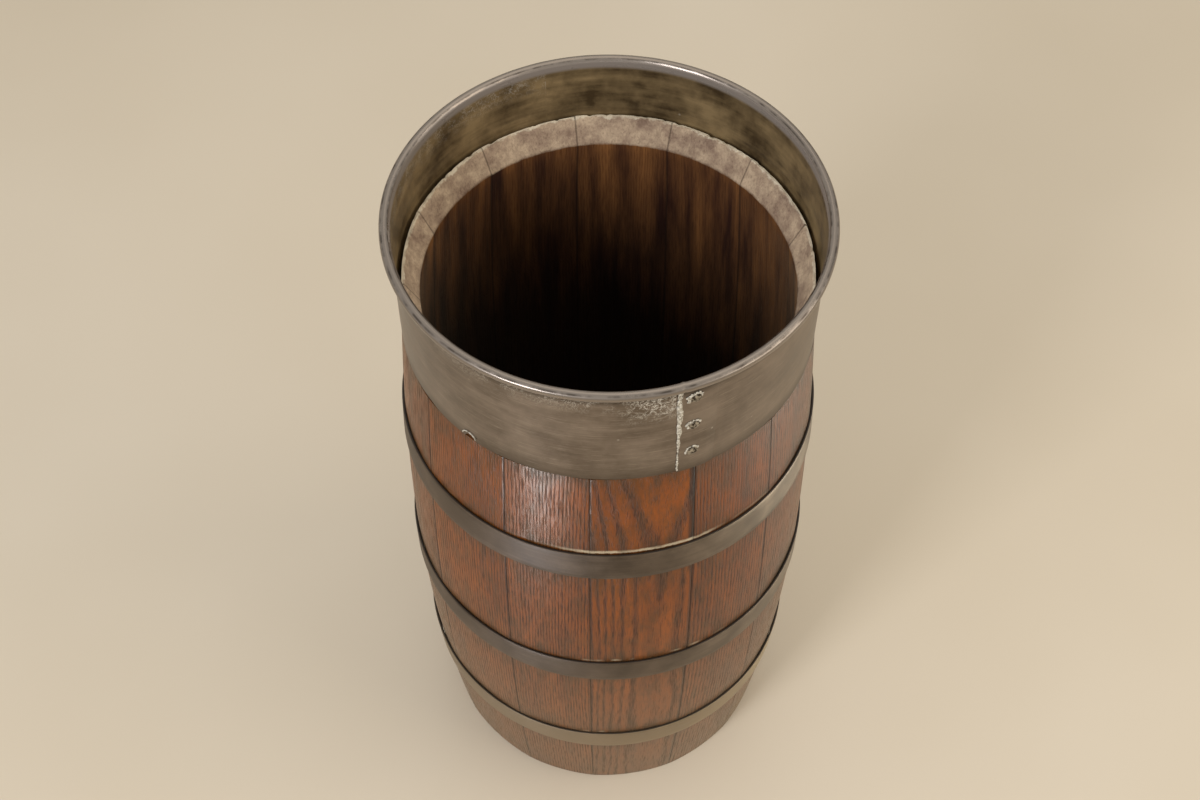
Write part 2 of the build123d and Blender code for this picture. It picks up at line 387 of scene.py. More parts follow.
def linear(code: str) -> Colour:
    """Turns an sRGB hex value such as #8a5a3c into linear light.

    Args:
        code: The hex value.

    Returns:
        The colour for a shader.
    """
    channels = [int(code[place : place + 2], 16) / 255 for place in (1, 3, 5)]
    red, green, blue = (c / 12.92 if c <= 0.04045 else ((c + 0.055) / 1.055) ** 2.4 for c in channels)
    return red, green, blue, 1.0


def grey(value: float) -> Colour:
    """A neutral colour for ramps that carry a number."""
    return value, value, value, 1.0


def fade(low: float = 0.0, high: float = 1.0, start: float = 0.0, end: float = 1.0) -> dict[str, float]:
    """Range settings: what runs from start to end while the input runs from low to high."""
    return {"From Min": low, "From Max": high, "To Min": start, "To Max": end}


def shades(deep: str, pale: str) -> dict:
    """Mix settings: from a deep colour to a pale one."""
    return COLOURS | {UNDER: linear(deep), OVER: linear(pale)}


def scaled(gain: float, lift: float | None = None) -> dict:
    """Math settings: the input times a gain, plus a lift or whatever is linked to it."""
    return {"operation": "MULTIPLY_ADD", 1: gain} | ({} if lift is None else {2: lift})


class Recipe:
    """The node tree of one material while it is put together."""

    def __init__(self, name: str) -> None:
        """Starts an empty tree.

        Args:
            name: The material's name.
        """
        self.material = bpy.data.materials.new(name)
        self.material.use_nodes = True
        self.tree = self.material.node_tree
        self.tree.nodes.clear()

    def add(
        self, kind: str, settings: dict | None = None, links: dict | None = None, take: Any = 0
    ) -> Socket:
        """Adds one node.

        Args:
            kind: The node's type after "ShaderNode".
            settings: Properties by name, inputs by name or number, and "stops" of a colour ramp.
            links: Sockets that feed its inputs, by the input's name or number.
            take: The output wanted, by name or number.

        Returns:
            That output.
        """
        node = self.tree.nodes.new("ShaderNode" + kind)
        for key, value in (settings or {}).items():
            if key == "stops":
                ramp = node.color_ramp
                while len(ramp.elements) < len(value):
                    ramp.elements.new(0.5)
                for element, (position, colour) in zip(ramp.elements, value):
                    element.position = position
                    element.color = colour
            elif isinstance(key, str) and hasattr(node, key):
                setattr(node, key, value)
            else:
                node.inputs[key].default_value = value
        for key, socket in (links or {}).items():
            self.tree.links.new(socket, node.inputs[key])
        return node.outputs[take]

    def drawn_noise(
        self, source: Socket, sizes: tuple[float, float, float], detail: float = 2.0, roughness: float = 0.5
    ) -> Socket:
        """Noise drawn out to a different size along each axis.

        Args:
            source: Where it is read.
            sizes: How long its waves are along the three axes.
            detail: How many rounds of finer waves lie on them.
            roughness: How strong the finer waves are.

        Returns:
            The noise, around 0.5.
        """
        drawn = self.add("Mapping", {"Scale": tuple(1 / size for size in sizes)}, {"Vector": source})
        look = {"Scale": 1.0, "Detail": detail, "Roughness": roughness}
        return self.add("TexNoise", look, {"Vector": drawn})

    def chain(self, operation: str, first: Socket, *others: Socket) -> Socket:
        """Joins several values by one operation, from left to right.

        Args:
            operation: The Math node's operation.
            first: The first value.
            others: The values that follow it.

        Returns:
            The result.
        """
        for other in others:
            first = self.add("Math", {"operation": operation}, {0: first, 1: other})
        return first

    def coats(self, body: Socket, *stains: tuple[Socket, str]) -> Socket:
        """Lays stains over a colour, one after another.

        Args:
            body: The colour underneath.
            stains: How strong each stain is, and its colour.

        Returns:
            The colour on top.
        """
        for share, stain in stains:
            body = self.add("Mix", COLOURS | {OVER: linear(stain)}, {SHARE: share, UNDER: body}, MIXED)
        return body

    def finish(self, shader: Socket) -> Material:
        """Puts the output under the shader.

        Args:
            shader: The shader.

        Returns:
            The finished material.
        """
        output = self.tree.nodes.new("ShaderNodeOutputMaterial")
        self.tree.links.new(shader, output.inputs["Surface"])
        return self.material


@dataclass(frozen=True)
class WoodPoint:
    """What the oak's patterns read at a point of a stave."""

    log: Socket  # its place in the log
    place: Socket  # its place in the barrel
    height: Socket
    depth: Socket  # from 0 on the outside to 1 on the inside
    tone: Socket  # how pale its stave is
    edge: Socket  # how far it is from a joint


@dataclass(frozen=True)
class VarnishedOak:
    """Oak staves stained red-brown and varnished: open dark pores along the grain under a soft gloss.

    A film of dust greys them where they turn away from the eye. Inside they are unvarnished and dark, with
    painted shade deepening lower down; the sawn bevel round the mouth shows bare, dry end grain.
    """

    pale: str = "#924b0a"
    deep: str = "#4e2408"
    pore: str = "#240d04"
    ring_edge: str = "#3f1a08"
    handled_and_shade: str = "#3d2c12"
    foot_pale: str = "#8a7860"
    inside_pale: str = "#87592f"
    inside_deep: str = "#35190d"
    inside_black: str = "#1a0b05"
    bare_pale: str = "#c4ad91"
    bare_deep: str = "#8a7361"
    saw_mark: str = "#4f3c2b"
    frayed_and_highlight: str = "#ddd2b8"
    bare_joint: str = "#2b1d12"
    dust: str = "#cbbb9d"
    film: str = "#ddd6b4"
    ring_spacing: float = 2.3 * MM
    ring_drift: float = 3.5 * MM
    pore_width: float = 0.5 * MM  # real vessels are half of this; drawn wider so that they show
    pore_length: float = 15 * MM
    varnish_rough: float = 0.34
    dry_rough: float = 0.85
    bare_foot: float = 507.4 * MM
    bare_full: float = 509.4 * MM
    # the painted shade inside is full below one height and gone above the other
    shade_ends_above: float = 550 * MM
    shade_full_below: float = 370 * MM

    def make(self) -> Material:
        """Builds the material.

        Returns:
            The material.
        """
        recipe = Recipe("varnished_oak")
        add = recipe.add
        wood = self.read(recipe)
        early = self.early_wood(recipe, wood)
        pores = self.pores(recipe, wood, early)
        outside = self.outside_colour(recipe, wood, early, pores)
        inside = self.inside_colour(recipe, wood, pores)
        bare, bare_mask = self.bare_wood(recipe, wood)
        in_mask = add("MapRange", fade(0.25, 0.5), {0: wood.depth})
        colour = add("Mix", COLOURS, {SHARE: in_mask, UNDER: outside, OVER: inside}, MIXED)
        dusty = self.dust_lines(recipe, wood)
        dusty = add("Math", {"operation": "SUBTRACT", "use_clamp": True}, {0: dusty, 1: in_mask})
        colour = recipe.coats(colour, (dusty, self.dust))
        colour = add("Mix", COLOURS, {SHARE: bare_mask, UNDER: colour, OVER: bare}, MIXED)
        dry = recipe.chain("MAXIMUM", in_mask, bare_mask, dusty)
        rough = add("MapRange", fade(start=self.varnish_rough, end=self.dry_rough), {0: dry})
        pitted = add("Math", scaled(0.3), {0: pores, 2: rough})
        relief = add("Math", scaled(-1.0, 0.0), {0: pores})
        hollow = recipe.drawn_noise(wood.log, (2 * MM, 2 * MM, 60 * MM), 3.0)
        relief = add("Math", scaled(1.2), {0: hollow, 2: relief})
        bump = add("Bump", {"Strength": 0.55, "Distance": 0.25 * MM}, {"Height": relief})
        varnish = {"IOR": 1.5, "Specular IOR Level": 0.22, "Coat Weight": 0.04, "Coat Roughness": 0.22}
        film = {"Sheen Weight": 0.2, "Sheen Roughness": 0.3, "Sheen Tint": linear(self.film)}
        links = {"Base Color": colour, "Roughness": pitted, "Normal": bump}
        return recipe.finish(add("BsdfPrincipled", varnish | film, links))

    def read(self, recipe: Recipe) -> WoodPoint:
        """Reads what the staves store for their finish.

        Args:
            recipe: The tree.

        Returns:
            The sockets that the patterns use.
        """
        add = recipe.add
        log = add("Attribute", {"attribute_name": "log"}, take="Vector")
        place = add("TexCoord", take="Object")
        height = add("SeparateXYZ", links={0: place}, take="Z")
        side = add("Attribute", {"attribute_name": "side"}, take="Vector")
        depth, tone, edge = add("SeparateXYZ", links={0: side}).node.outputs
        return WoodPoint(log, place, height, depth, tone, edge)

    def early_wood(self, recipe: Recipe, wood: WoodPoint) -> Socket:
        """The porous start of each year's ring.

        Args:
            recipe: The tree.
            wood: What it reads.

        Returns:
            How porous the ring is, between 0 and 1.
        """
        add = recipe.add
        growth = add("Attribute", {"attribute_name": "growth"}, take="Fac")
        drift = recipe.drawn_noise(wood.log, (16 * MM, 16 * MM, 110 * MM))
        flat = add("VectorMath", {"operation": "MULTIPLY", 1: (1, 1, 0)}, {0: wood.log})
        radius = add("VectorMath", {"operation": "LENGTH"}, {0: flat}, take="Value")
        moved = add("Math", scaled(self.ring_drift), {0: drift, 2: radius})
        width = add("Math", {"operation": "MULTIPLY", 1: self.ring_spacing}, {0: growth})
        rings = add("Math", {"operation": "DIVIDE"}, {0: moved, 1: width})
        phase = add("Math", {"operation": "FRACT"}, {0: rings})
        stops = [(0.0, grey(0.7)), (0.12, grey(1)), (0.4, grey(0.2)), (0.8, grey(0)), (1.0, grey(0.7))]
        return add("ValToRGB", {"stops": stops}, {"Fac": phase})

    def pores(self, recipe: Recipe, wood: WoodPoint, early: Socket) -> Socket:
        """Open vessels drawn out along the grain, closer together in the early wood.

        Args:
            recipe: The tree.
            wood: What it reads.
            early: How porous the ring is.

        Returns:
            1 in a vessel and 0 between them.
        """
        sizes = (self.pore_width, self.pore_width, self.pore_length)
        speck = recipe.drawn_noise(wood.log, sizes, 1.5, 0.6)
        lifted = recipe.add("Math", scaled(0.18), {0: early, 2: speck})
        return recipe.add("MapRange", fade(0.56, 0.73), {0: lifted})

    def outside_colour(self, recipe: Recipe, wood: WoodPoint, early: Socket, pores: Socket) -> Socket:
        """Stained and varnished wood, darker in the pores, by the joints, where hands were and in painted
        shade by the metal.

        Args:
            recipe: The tree.
            wood: What it reads.
            early: How porous the ring is.
            pores: Where the vessels are.

        Returns:
            The colour, greyed towards the foot: partly dust from the floor, partly a painted sheen of the
                floor's reflection.
        """
        add = recipe.add
        patch = recipe.drawn_noise(wood.log, (16 * MM, 16 * MM, 90 * MM), 6.0, 0.68)
        shade = add("Math", scaled(2.0, -1.0), {0: patch})
        shade = add("Math", {"operation": "ADD", "use_clamp": True}, {0: shade, 1: wood.tone})
        body = add("Mix", shades(self.deep, self.pale), {SHARE: shade}, MIXED)
        line = add("Math", {"operation": "MULTIPLY", 1: 0.48}, {0: early})
        pit = add("Math", {"operation": "MULTIPLY", 1: 0.7}, {0: pores})
        wear_and_shade = recipe.drawn_noise(wood.log, (9 * MM, 9 * MM, 28 * MM), 6.0, 0.72)
        # Painted shade: the wood darkens beside the hoops and the collar's lower edge, mixed into the
        # handled dirt.
        soil = add("Attribute", {"attribute_name": "soil"}, take="Fac")
        wear_and_shade = add("Math", scaled(0.22), {0: soil, 2: wear_and_shade})
        dirt_and_shade = add("MapRange", fade(0.46, 0.74, 0.0, 0.65), {0: wear_and_shade})
        joint = add("MapRange", fade(0.2 * MM, 1.6 * MM, 0.7, 0.0), {0: wood.edge})
        opened = add("MapRange", fade(-2.2 * MM, -0.4 * MM, 0.95, 0.0), {0: wood.edge})
        # Greyer towards the foot: partly dust from the floor, partly a painted sheen where the varnish would
        # reflect the floor.
        paler_towards_foot = add("MapRange", fade(20 * MM, 300 * MM, 0.45, 0.0), {0: wood.height})
        return recipe.coats(
            body,
            (line, self.ring_edge),
            (pit, self.pore),
            (dirt_and_shade, self.handled_and_shade),
            (joint, self.pore),
            (opened, self.inside_black),
            (paler_towards_foot, self.foot_pale),
        )

    def inside_colour(self, recipe: Recipe, wood: WoodPoint, pores: Socket) -> Socket:
        """Unvarnished wood in long upright streaks, with painted shade that blackens it lower down and
        towards -X.

        Args:
            recipe: The tree.
            wood: What it reads.
            pores: Where the vessels are.

        Returns:
            The colour.
        """
        add = recipe.add
        streak = recipe.drawn_noise(wood.log, (12 * MM, 12 * MM, 120 * MM), 4.0, 0.55)
        share = add("MapRange", fade(0.3, 0.72), {0: streak})
        body = add("Mix", shades(self.inside_deep, self.inside_pale), {SHARE: share}, MIXED)
        pit = add("Math", {"operation": "MULTIPLY", 1: 0.4}, {0: pores})
        # Painted shade: darker lower down and towards -X, where less light reaches inside.
        across = add("SeparateXYZ", links={0: wood.place}, take="X")
        tilted = add("Math", scaled(0.45), {0: across, 2: wood.height})
        uneven = add("Math", scaled(130 * MM), {0: streak, 2: tilted})
        depth_shade = add("MapRange", fade(self.shade_full_below, self.shade_ends_above, 0.88, 0.0), {0: uneven})
        joint = add("MapRange", fade(0.2 * MM, 1.4 * MM, 0.7, 0.0), {0: wood.edge})
        stains = ((pit, self.inside_deep), (depth_shade, self.inside_black), (joint, self.inside_black))
        return recipe.coats(body, *stains)

    def bare_wood(self, recipe: Recipe, wood: WoodPoint) -> tuple[Socket, Socket]:
        """The bevel round the mouth.

        Args:
            recipe: The tree.
            wood: What it reads.

        Returns:
            Its colour, and where it is.
        """
        add = recipe.add
        look = {"Scale": 1 / (6 * MM), "Detail": 4.0, "Roughness": 0.7}
        rough = add("TexNoise", look, {"Vector": wood.place})
        ragged = add("Math", scaled(3 * MM), {0: rough, 2: wood.height})
        mask = add("MapRange", fade(self.bare_foot, self.bare_full), {0: ragged})
        look = {"Scale": 1 / (18 * MM), "Detail": 5.0, "Roughness": 0.72}
        blotch = add("TexNoise", look, {"Vector": wood.place})
        share = add("MapRange", fade(0.36, 0.62), {0: blotch})
        body = add("Mix", shades(self.bare_deep, self.bare_pale), {SHARE: share}, MIXED)
        score = recipe.drawn_noise(wood.log, (1.2 * MM, 1.2 * MM, 9 * MM))
        scored = add("MapRange", fade(0.5, 0.75, 0.0, 0.35), {0: score})
        # Pale along the outer edge: torn fibres, partly a painted highlight where the edge catches the
        # light.
        torn_and_highlight = add("Math", scaled(-0.5), {0: rough, 2: wood.depth})
        torn_and_highlight = add("MapRange", fade(-0.16, -0.08, 0.75, 0.0), {0: torn_and_highlight})
        joint = add("MapRange", fade(0.1 * MM, 0.9 * MM, 0.6, 0.0), {0: wood.edge})
        body = recipe.coats(body, (scored, self.saw_mark), (torn_and_highlight, self.frayed_and_highlight), (joint, self.bare_joint))
        return body, mask

    def dust_lines(self, recipe: Recipe, wood: WoodPoint) -> Socket:
        """Pale dust caught on the wood just above each hoop.

        Args:
            recipe: The tree.
            wood: What it reads.

        Returns:
            How thick the dust lies, from 0 to 1.
        """
        add = recipe.add
        look = {"Scale": 1 / (3 * MM), "Detail": 3.0, "Roughness": 0.7}
        grit = add("TexNoise", look, {"Vector": wood.place})
        lifted = add("Math", scaled(2.4 * MM, -1.2 * MM), {0: grit})
        level = recipe.chain("ADD", lifted, wood.height)
        lines = []
        for hoop in HOOPS:
            over = add("MapRange", fade(hoop.top + 0.3 * MM, hoop.top + 0.9 * MM), {0: level})
            under = add("MapRange", fade(hoop.top + 2.2 * MM, hoop.top + 4.2 * MM, 1.0, 0.0), {0: level})
            lines.append(recipe.chain("MULTIPLY", over, under))
        share = add("Attribute", {"attribute_name": "dust"}, take="Fac")
        return recipe.chain("MULTIPLY", recipe.chain("ADD", *lines), share)


@dataclass(frozen=True)
class DarkOak:
    """Planed oak head boards, unvarnished and darkened by age and damp: matt, with dull streaks."""

    pale: str = "#3d2111"
    deep: str = "#150a05"

    def make(self) -> Material:
        """Builds the material; the boards' grain runs along Y.

        Returns:
            The material.
        """
        recipe = Recipe("dark_oak")
        add = recipe.add
        place = add("TexCoord", take="Object")
        streak = recipe.drawn_noise(place, (4 * MM, 90 * MM, 4 * MM), 5.0, 0.65)
        stops = [(0.34, linear(self.deep)), (0.66, linear(self.pale))]
        colour = add("ValToRGB", {"stops": stops}, {"Fac": streak})
        bump = add("Bump", {"Strength": 0.5, "Distance": 0.3 * MM}, {"Height": streak})
        links = {"Base Color": colour, "Normal": bump}
        return recipe.finish(add("BsdfPrincipled", {"Roughness": 0.8, "IOR": 1.5}, links))


@dataclass(frozen=True)
class BrownedIron:
    """Rolled hoop iron browned by age and wax: a dull metal with faint streaks along it and painted shade on
    its top edge.
    """

    dark: str = "#483c2f"
    pale: str = "#6c5d4d"
    rust: str = "#4b2b17"
    foot_pale: str = "#b5a181"
    shade_colour: str = "#1d140c"
    metal: float = 0.7
    shaded_edge_metal: float = 0.1
    smooth: float = 0.3
    rough: float = 0.54
    streak_length: float = 60 * MM
    streak_width: float = 2.2 * MM

    def make(self) -> Material:
        """Builds the material; the streaks follow the strip through the strip attribute.

        Returns:
            The material.
        """
        recipe = Recipe("browned_iron")
        add = recipe.add
        run = add("Attribute", {"attribute_name": "strip"}, take="Vector")
        place = add("TexCoord", take="Object")
        height = add("SeparateXYZ", links={0: place}, take="Z")
        sizes = (self.streak_length, self.streak_width, self.streak_width)
        streak = recipe.drawn_noise(run, sizes, 4.0, 0.6)
        look = {"Scale": 1 / (24 * MM), "Detail": 5.0, "Roughness": 0.6}
        blotch = add("TexNoise", look, {"Vector": place})
        both = add("Math", scaled(0.5), {0: streak, 2: blotch})
        share = add("MapRange", fade(0.55, 0.98), {0: both})
        body = add("Mix", shades(self.dark, self.pale), {SHARE: share}, MIXED)
        fleck = add("TexNoise", {"Scale": 1 / (5 * MM), "Detail": 6.0, "Roughness": 0.75}, {"Vector": place})
        rusty = add("MapRange", fade(0.62, 0.74, 0.0, 0.5), {0: fleck})
        paler_towards_foot = add("MapRange", fade(90 * MM, 230 * MM, 0.5, 0.0), {0: height})
        # Painted shade: the top edge and inner face are darkened and made less metallic.
        hidden = add("SeparateXYZ", links={0: run}, take="Z")
        shaded_edge = add("Math", {"operation": "MULTIPLY", 1: 0.9}, {0: hidden})
        body = recipe.coats(body, (rusty, self.rust), (paler_towards_foot, self.foot_pale), (shaded_edge, self.shade_colour))
        metal = add("MapRange", fade(start=self.metal, end=self.shaded_edge_metal), {0: shaded_edge})
        rough = add("MapRange", fade(0.3, 0.8, self.smooth, self.rough), {0: both})
        pits = add("TexNoise", {"Scale": 1 / (1.4 * MM), "Detail": 3.0}, {"Vector": place})
        relief = add("Math", scaled(0.3), {0: pits, 2: streak})
        bump = add("Bump", {"Strength": 0.3, "Distance": 0.15 * MM}, {"Height": relief})
        links = {"Base Color": body, "Metallic": metal, "Roughness": rough, "Normal": bump}
        return recipe.finish(add("BsdfPrincipled", links=links))


@dataclass(frozen=True)
class SheetPoint:
    """What the sheet's patterns read at a point of the collar."""

    place: Socket  # its place in the barrel
    along: Socket  # how far round from the seam it is
    up: Socket  # how far over the lower edge it is
    side: Socket  # 1 on the inner face and 0 elsewhere


@dataclass(frozen=True)
class TarnishedSheet:
    """Tinned sheet, tarnished olive-brown: a satin face with smears, pale scuffs and spots of lime."""

    outside: str = "#8f8275"
    outside_dark: str = "#685c50"
    scuff: str = "#b5a99a"
    foot_grime: str = "#3f3222"
    inside: str = "#97805a"
    inside_dark: str = "#4b3c27"
    lime: str = "#e2ddd0"
    bead: str = "#91877d"
    shade_colour: str = "#2b2118"
    under_bead: tuple[float, float] = (88 * MM, 90 * MM)  # the wall's last reach, over its lower edge
    crown: float = 96.1 * MM

    def make(self) -> Material:
        """Builds the material from the sheet's own run, height and side.

        Returns:
            The material.
        """
        recipe = Recipe("tarnished_sheet")
        add = recipe.add
        run = add("Attribute", {"attribute_name": "strip"}, take="Vector")
        along, up, side = add("SeparateXYZ", links={0: run}).node.outputs
        sheet = SheetPoint(add("TexCoord", take="Object"), along, up, side)
        smear = recipe.drawn_noise(run, (70 * MM, 6 * MM, 1.0), 5.0, 0.6)
        look = {"Scale": 1 / (30 * MM), "Detail": 5.0, "Roughness": 0.62}
        blotch = add("TexNoise", look, {"Vector": sheet.place})
        both = add("Math", scaled(0.45), {0: smear, 2: blotch})
        share = add("MapRange", fade(0.54, 0.9), {0: both})
        thin = recipe.drawn_noise(run, (22 * MM, 0.9 * MM, 1.0), 3.0, 0.6)
        scuff = add("MapRange", fade(0.56, 0.74, 0.0, 0.5), {0: thin})
        foot = add("MapRange", fade(0.5 * MM, 13 * MM, 0.6, 0.0), {0: sheet.up})
        outer = add("Mix", shades(self.outside_dark, self.outside), {SHARE: share}, MIXED)
        outer = recipe.coats(outer, (scuff, self.scuff), (foot, self.foot_grime))
        inner = add("Mix", shades(self.inside_dark, self.inside), {SHARE: share}, MIXED)
        body = add("Mix", COLOURS, {SHARE: sheet.side, UNDER: outer, OVER: inner}, MIXED)
        bead = add("MapRange", fade(88 * MM, 90.5 * MM), {0: sheet.up})
        lime = self.lime_marks(recipe, sheet)
        # The crease under the bead and the groove along its crown take painted shade.
        stains = ((bead, self.bead), (self.bead_shade(recipe, sheet), self.shade_colour), (lime, self.lime))
        body = recipe.coats(body, *stains)
        dull = recipe.chain("MAXIMUM", lime, sheet.side)
        metal = add("MapRange", fade(start=0.85, end=0.15), {0: dull})
        rough = add("MapRange", fade(0.5, 1.0, 0.3, 0.5), {0: both})
        rough = add("Math", scaled(-0.1), {0: bead, 2: rough})
        rough = add("Math", scaled(0.4), {0: lime, 2: rough})
        fine = add("TexNoise", {"Scale": 1 / (2.5 * MM), "Detail": 4.0}, {"Vector": sheet.place})
        relief = add("Math", scaled(0.25), {0: fine, 2: blotch})
        relief = add("Math", scaled(0.5), {0: lime, 2: relief})
        bump = add("Bump", {"Strength": 0.35, "Distance": 0.3 * MM}, {"Height": relief})
        links = {"Base Color": body, "Metallic": metal, "Roughness": rough, "Normal": bump}
        return recipe.finish(add("BsdfPrincipled", links=links))

    def bead_shade(self, recipe: Recipe, sheet: SheetPoint) -> Socket:
        """Painted shade in the crease under the bead and in the groove along its crown.

        Args:
            recipe: The tree.
            sheet: What it reads.

        Returns:
            How strong the painted shade is.
        """
        add = recipe.add
        crease = add("MapRange", fade(79.5 * MM, 84 * MM), {0: sheet.up})
        above = add("MapRange", fade(87 * MM, 91 * MM, 0.6, 0.0), {0: sheet.up})
        outer = add("MapRange", fade(start=1.0, end=0.25), {0: sheet.side})
        crease = recipe.chain("MULTIPLY", crease, above, outer)
        off = add("Math", {"operation": "SUBTRACT", 1: self.crown}, {0: sheet.up})
        off = add("Math", {"operation": "ABSOLUTE"}, {0: off})
        groove = add("MapRange", fade(0.1 * MM, 0.55 * MM, 0.7, 0.0), {0: off})
        streak = add("TexNoise", {"Scale": 1 / (9 * MM), "Detail": 3.0}, {"Vector": sheet.place})
        broken = add("MapRange", fade(0.4, 0.62), {0: streak})
        return recipe.chain("MAXIMUM", crease, recipe.chain("MULTIPLY", groove, broken))

    def lime_marks(self, recipe: Recipe, sheet: SheetPoint) -> Socket:
        """Scratchy pale marks under the bead by the seam, and scattered spots.

        Args:
            recipe: The tree.
            sheet: What it reads.

        Returns:
            How much lime there is, from 0 to 1.
        """
        add = recipe.add
        look = {"Scale": 1 / (5 * MM), "Detail": 2.5, "Roughness": 0.55, "Distortion": 2.2}
        scratch = add("TexNoise", look, {"Vector": sheet.place})
        ridged = add("Math", {"operation": "SUBTRACT", 1: 0.5}, {0: scratch})
        ridged = add("Math", {"operation": "ABSOLUTE"}, {0: ridged})
        fine = add("MapRange", fade(0.012, 0.045, 1.0, 0.0), {0: ridged})
        clump = add("TexNoise", {"Scale": 1 / (9 * MM), "Detail": 2.0}, {"Vector": sheet.place})
        fine = recipe.chain("MULTIPLY", fine, add("MapRange", fade(0.36, 0.5), {0: clump}))
        before = add("MapRange", fade(0.0, 1 * MM, 1.0, 0.0), {0: sheet.along})
        under = add("MapRange", fade(*self.under_bead, 1.0, 0.0), {0: sheet.up})
        near = add("MapRange", fade(-42 * MM, -22 * MM, end=0.8), {0: sheet.along})
        high = add("MapRange", fade(58 * MM, 72 * MM), {0: sheet.up})
        marks = recipe.chain("MULTIPLY", near, before, high, under, fine)
        far = add("MapRange", fade(-230 * MM, -60 * MM, 0.25, 0.5), {0: sheet.along})
        band = add("MapRange", fade(70 * MM, 84 * MM), {0: sheet.up})
        trail = recipe.chain("MULTIPLY", far, before, band, under, fine)
        spot = add("TexVoronoi", {"Scale": 1 / (16 * MM)}, {"Vector": sheet.place}, take="Distance")
        dots = add("MapRange", fade(0.03, 0.07, 0.35, 0.0), {0: spot})
        rare = add("TexNoise", {"Scale": 1 / (45 * MM), "Detail": 1.0}, {"Vector": sheet.place})
        dots = recipe.chain("MULTIPLY", dots, add("MapRange", fade(0.52, 0.62), {0: rare}))
        marks = recipe.chain("MAXIMUM", marks, trail)
        return add("Math", {"operation": "MAXIMUM", "use_clamp": True}, {0: marks, 1: dots})


@dataclass(frozen=True)
class SolderCrust:
    """Old solder and lime along the seam: chalky, pale and rough, with darker hollows."""

    pale: str = "#d9d4c6"
    deep: str = "#7d7463"

    def make(self) -> Material:
        """Builds the material.

        Returns:
            The material.
        """
        recipe = Recipe("solder_crust")
        add = recipe.add
        look = {"Scale": 1 / (1.6 * MM), "Detail": 4.0, "Roughness": 0.7}
        grit = add("TexNoise", look, {"Vector": add("TexCoord", take="Object")})
        stops = [(0.36, linear(self.deep)), (0.56, linear(self.pale))]
        colour = add("ValToRGB", {"stops": stops}, {"Fac": grit})
        bump = add("Bump", {"Strength": 0.6, "Distance": 0.25 * MM}, {"Height": grit})
        links = {"Base Color": colour, "Normal": bump}
        return recipe.finish(add("BsdfPrincipled", {"Roughness": 0.62, "Metallic": 0.25}, links))


@dataclass(frozen=True)
class HammeredRivet:
    """Soft rivets closed with a hammer: bright rubbed crowns with dirt in the dents."""

    name: str = "hammered_rivet"
    bright: str = "#b7afa0"
    dirt: str = "#3a3024"
    grain: float = 2.2 * MM

    def make(self) -> Material:
        """Builds the material.

        Returns:
            The material.
        """
        recipe = Recipe(self.name)
        add = recipe.add
        look = {"Scale": 1 / self.grain, "Detail": 4.0, "Roughness": 0.65}
        dent = add("TexNoise", look, {"Vector": add("TexCoord", take="Object")})
        stops = [(0.42, linear(self.dirt)), (0.6, linear(self.bright))]
        colour = add("ValToRGB", {"stops": stops}, {"Fac": dent})
        rough = add("MapRange", fade(0.4, 0.65, 0.6, 0.3), {0: dent})
        bump = add("Bump", {"Strength": 0.5, "Distance": 0.3 * MM}, {"Height": dent})
        links = {"Base Color": colour, "Roughness": rough, "Normal": bump}
        return recipe.finish(add("BsdfPrincipled", {"Metallic": 0.9}, links))


@dataclass(frozen=True)
class StudioFloor:
    """A smooth satin-painted board, warm white, with the faintest mottling."""

    pale: str = "#d6cab5"
    deep: str = "#cec1aa"
    roughness: float = 0.34

    def make(self) -> Material:
        """Builds the material.

        Returns:
            The material.
        """
        recipe = Recipe("studio_floor")
        add = recipe.add
        place = add("TexCoord", take="Object")
        cloud = add("TexNoise", {"Scale": 1.6, "Detail": 3.0}, {"Vector": place})
        stops = [(0.3, linear(self.deep)), (0.7, linear(self.pale))]
        colour = add("ValToRGB", {"stops": stops}, {"Fac": cloud})
        return recipe.finish(add("BsdfPrincipled", {"Roughness": self.roughness}, {"Base Color": colour}))


# ---- Staves ----


@dataclass(frozen=True)
class Log:
    """Where one stave lay in its log: what decides whether its grain is straight or arched."""

    across: float
    depth: float
    slope: float
    tone: float
    growth: float  # width of its rings over the usual width
    tip: float = 400 * MM  # height where the rings' arch ends
    straighten: float = 4000 * MM  # how soon below that the grain runs straight

    def crook(self, height: float) -> float:
        """How far the log's heart leans away; below the tip of the arch it comes to run straight.

        Args:
            height: Height in the barrel.

        Returns:
            The heart's shift at that height.
        """
        below = self.tip - height
        if below <= 0:
            return self.slope * below
        return self.slope * self.straighten * (1 - math.exp(-below / self.straighten))


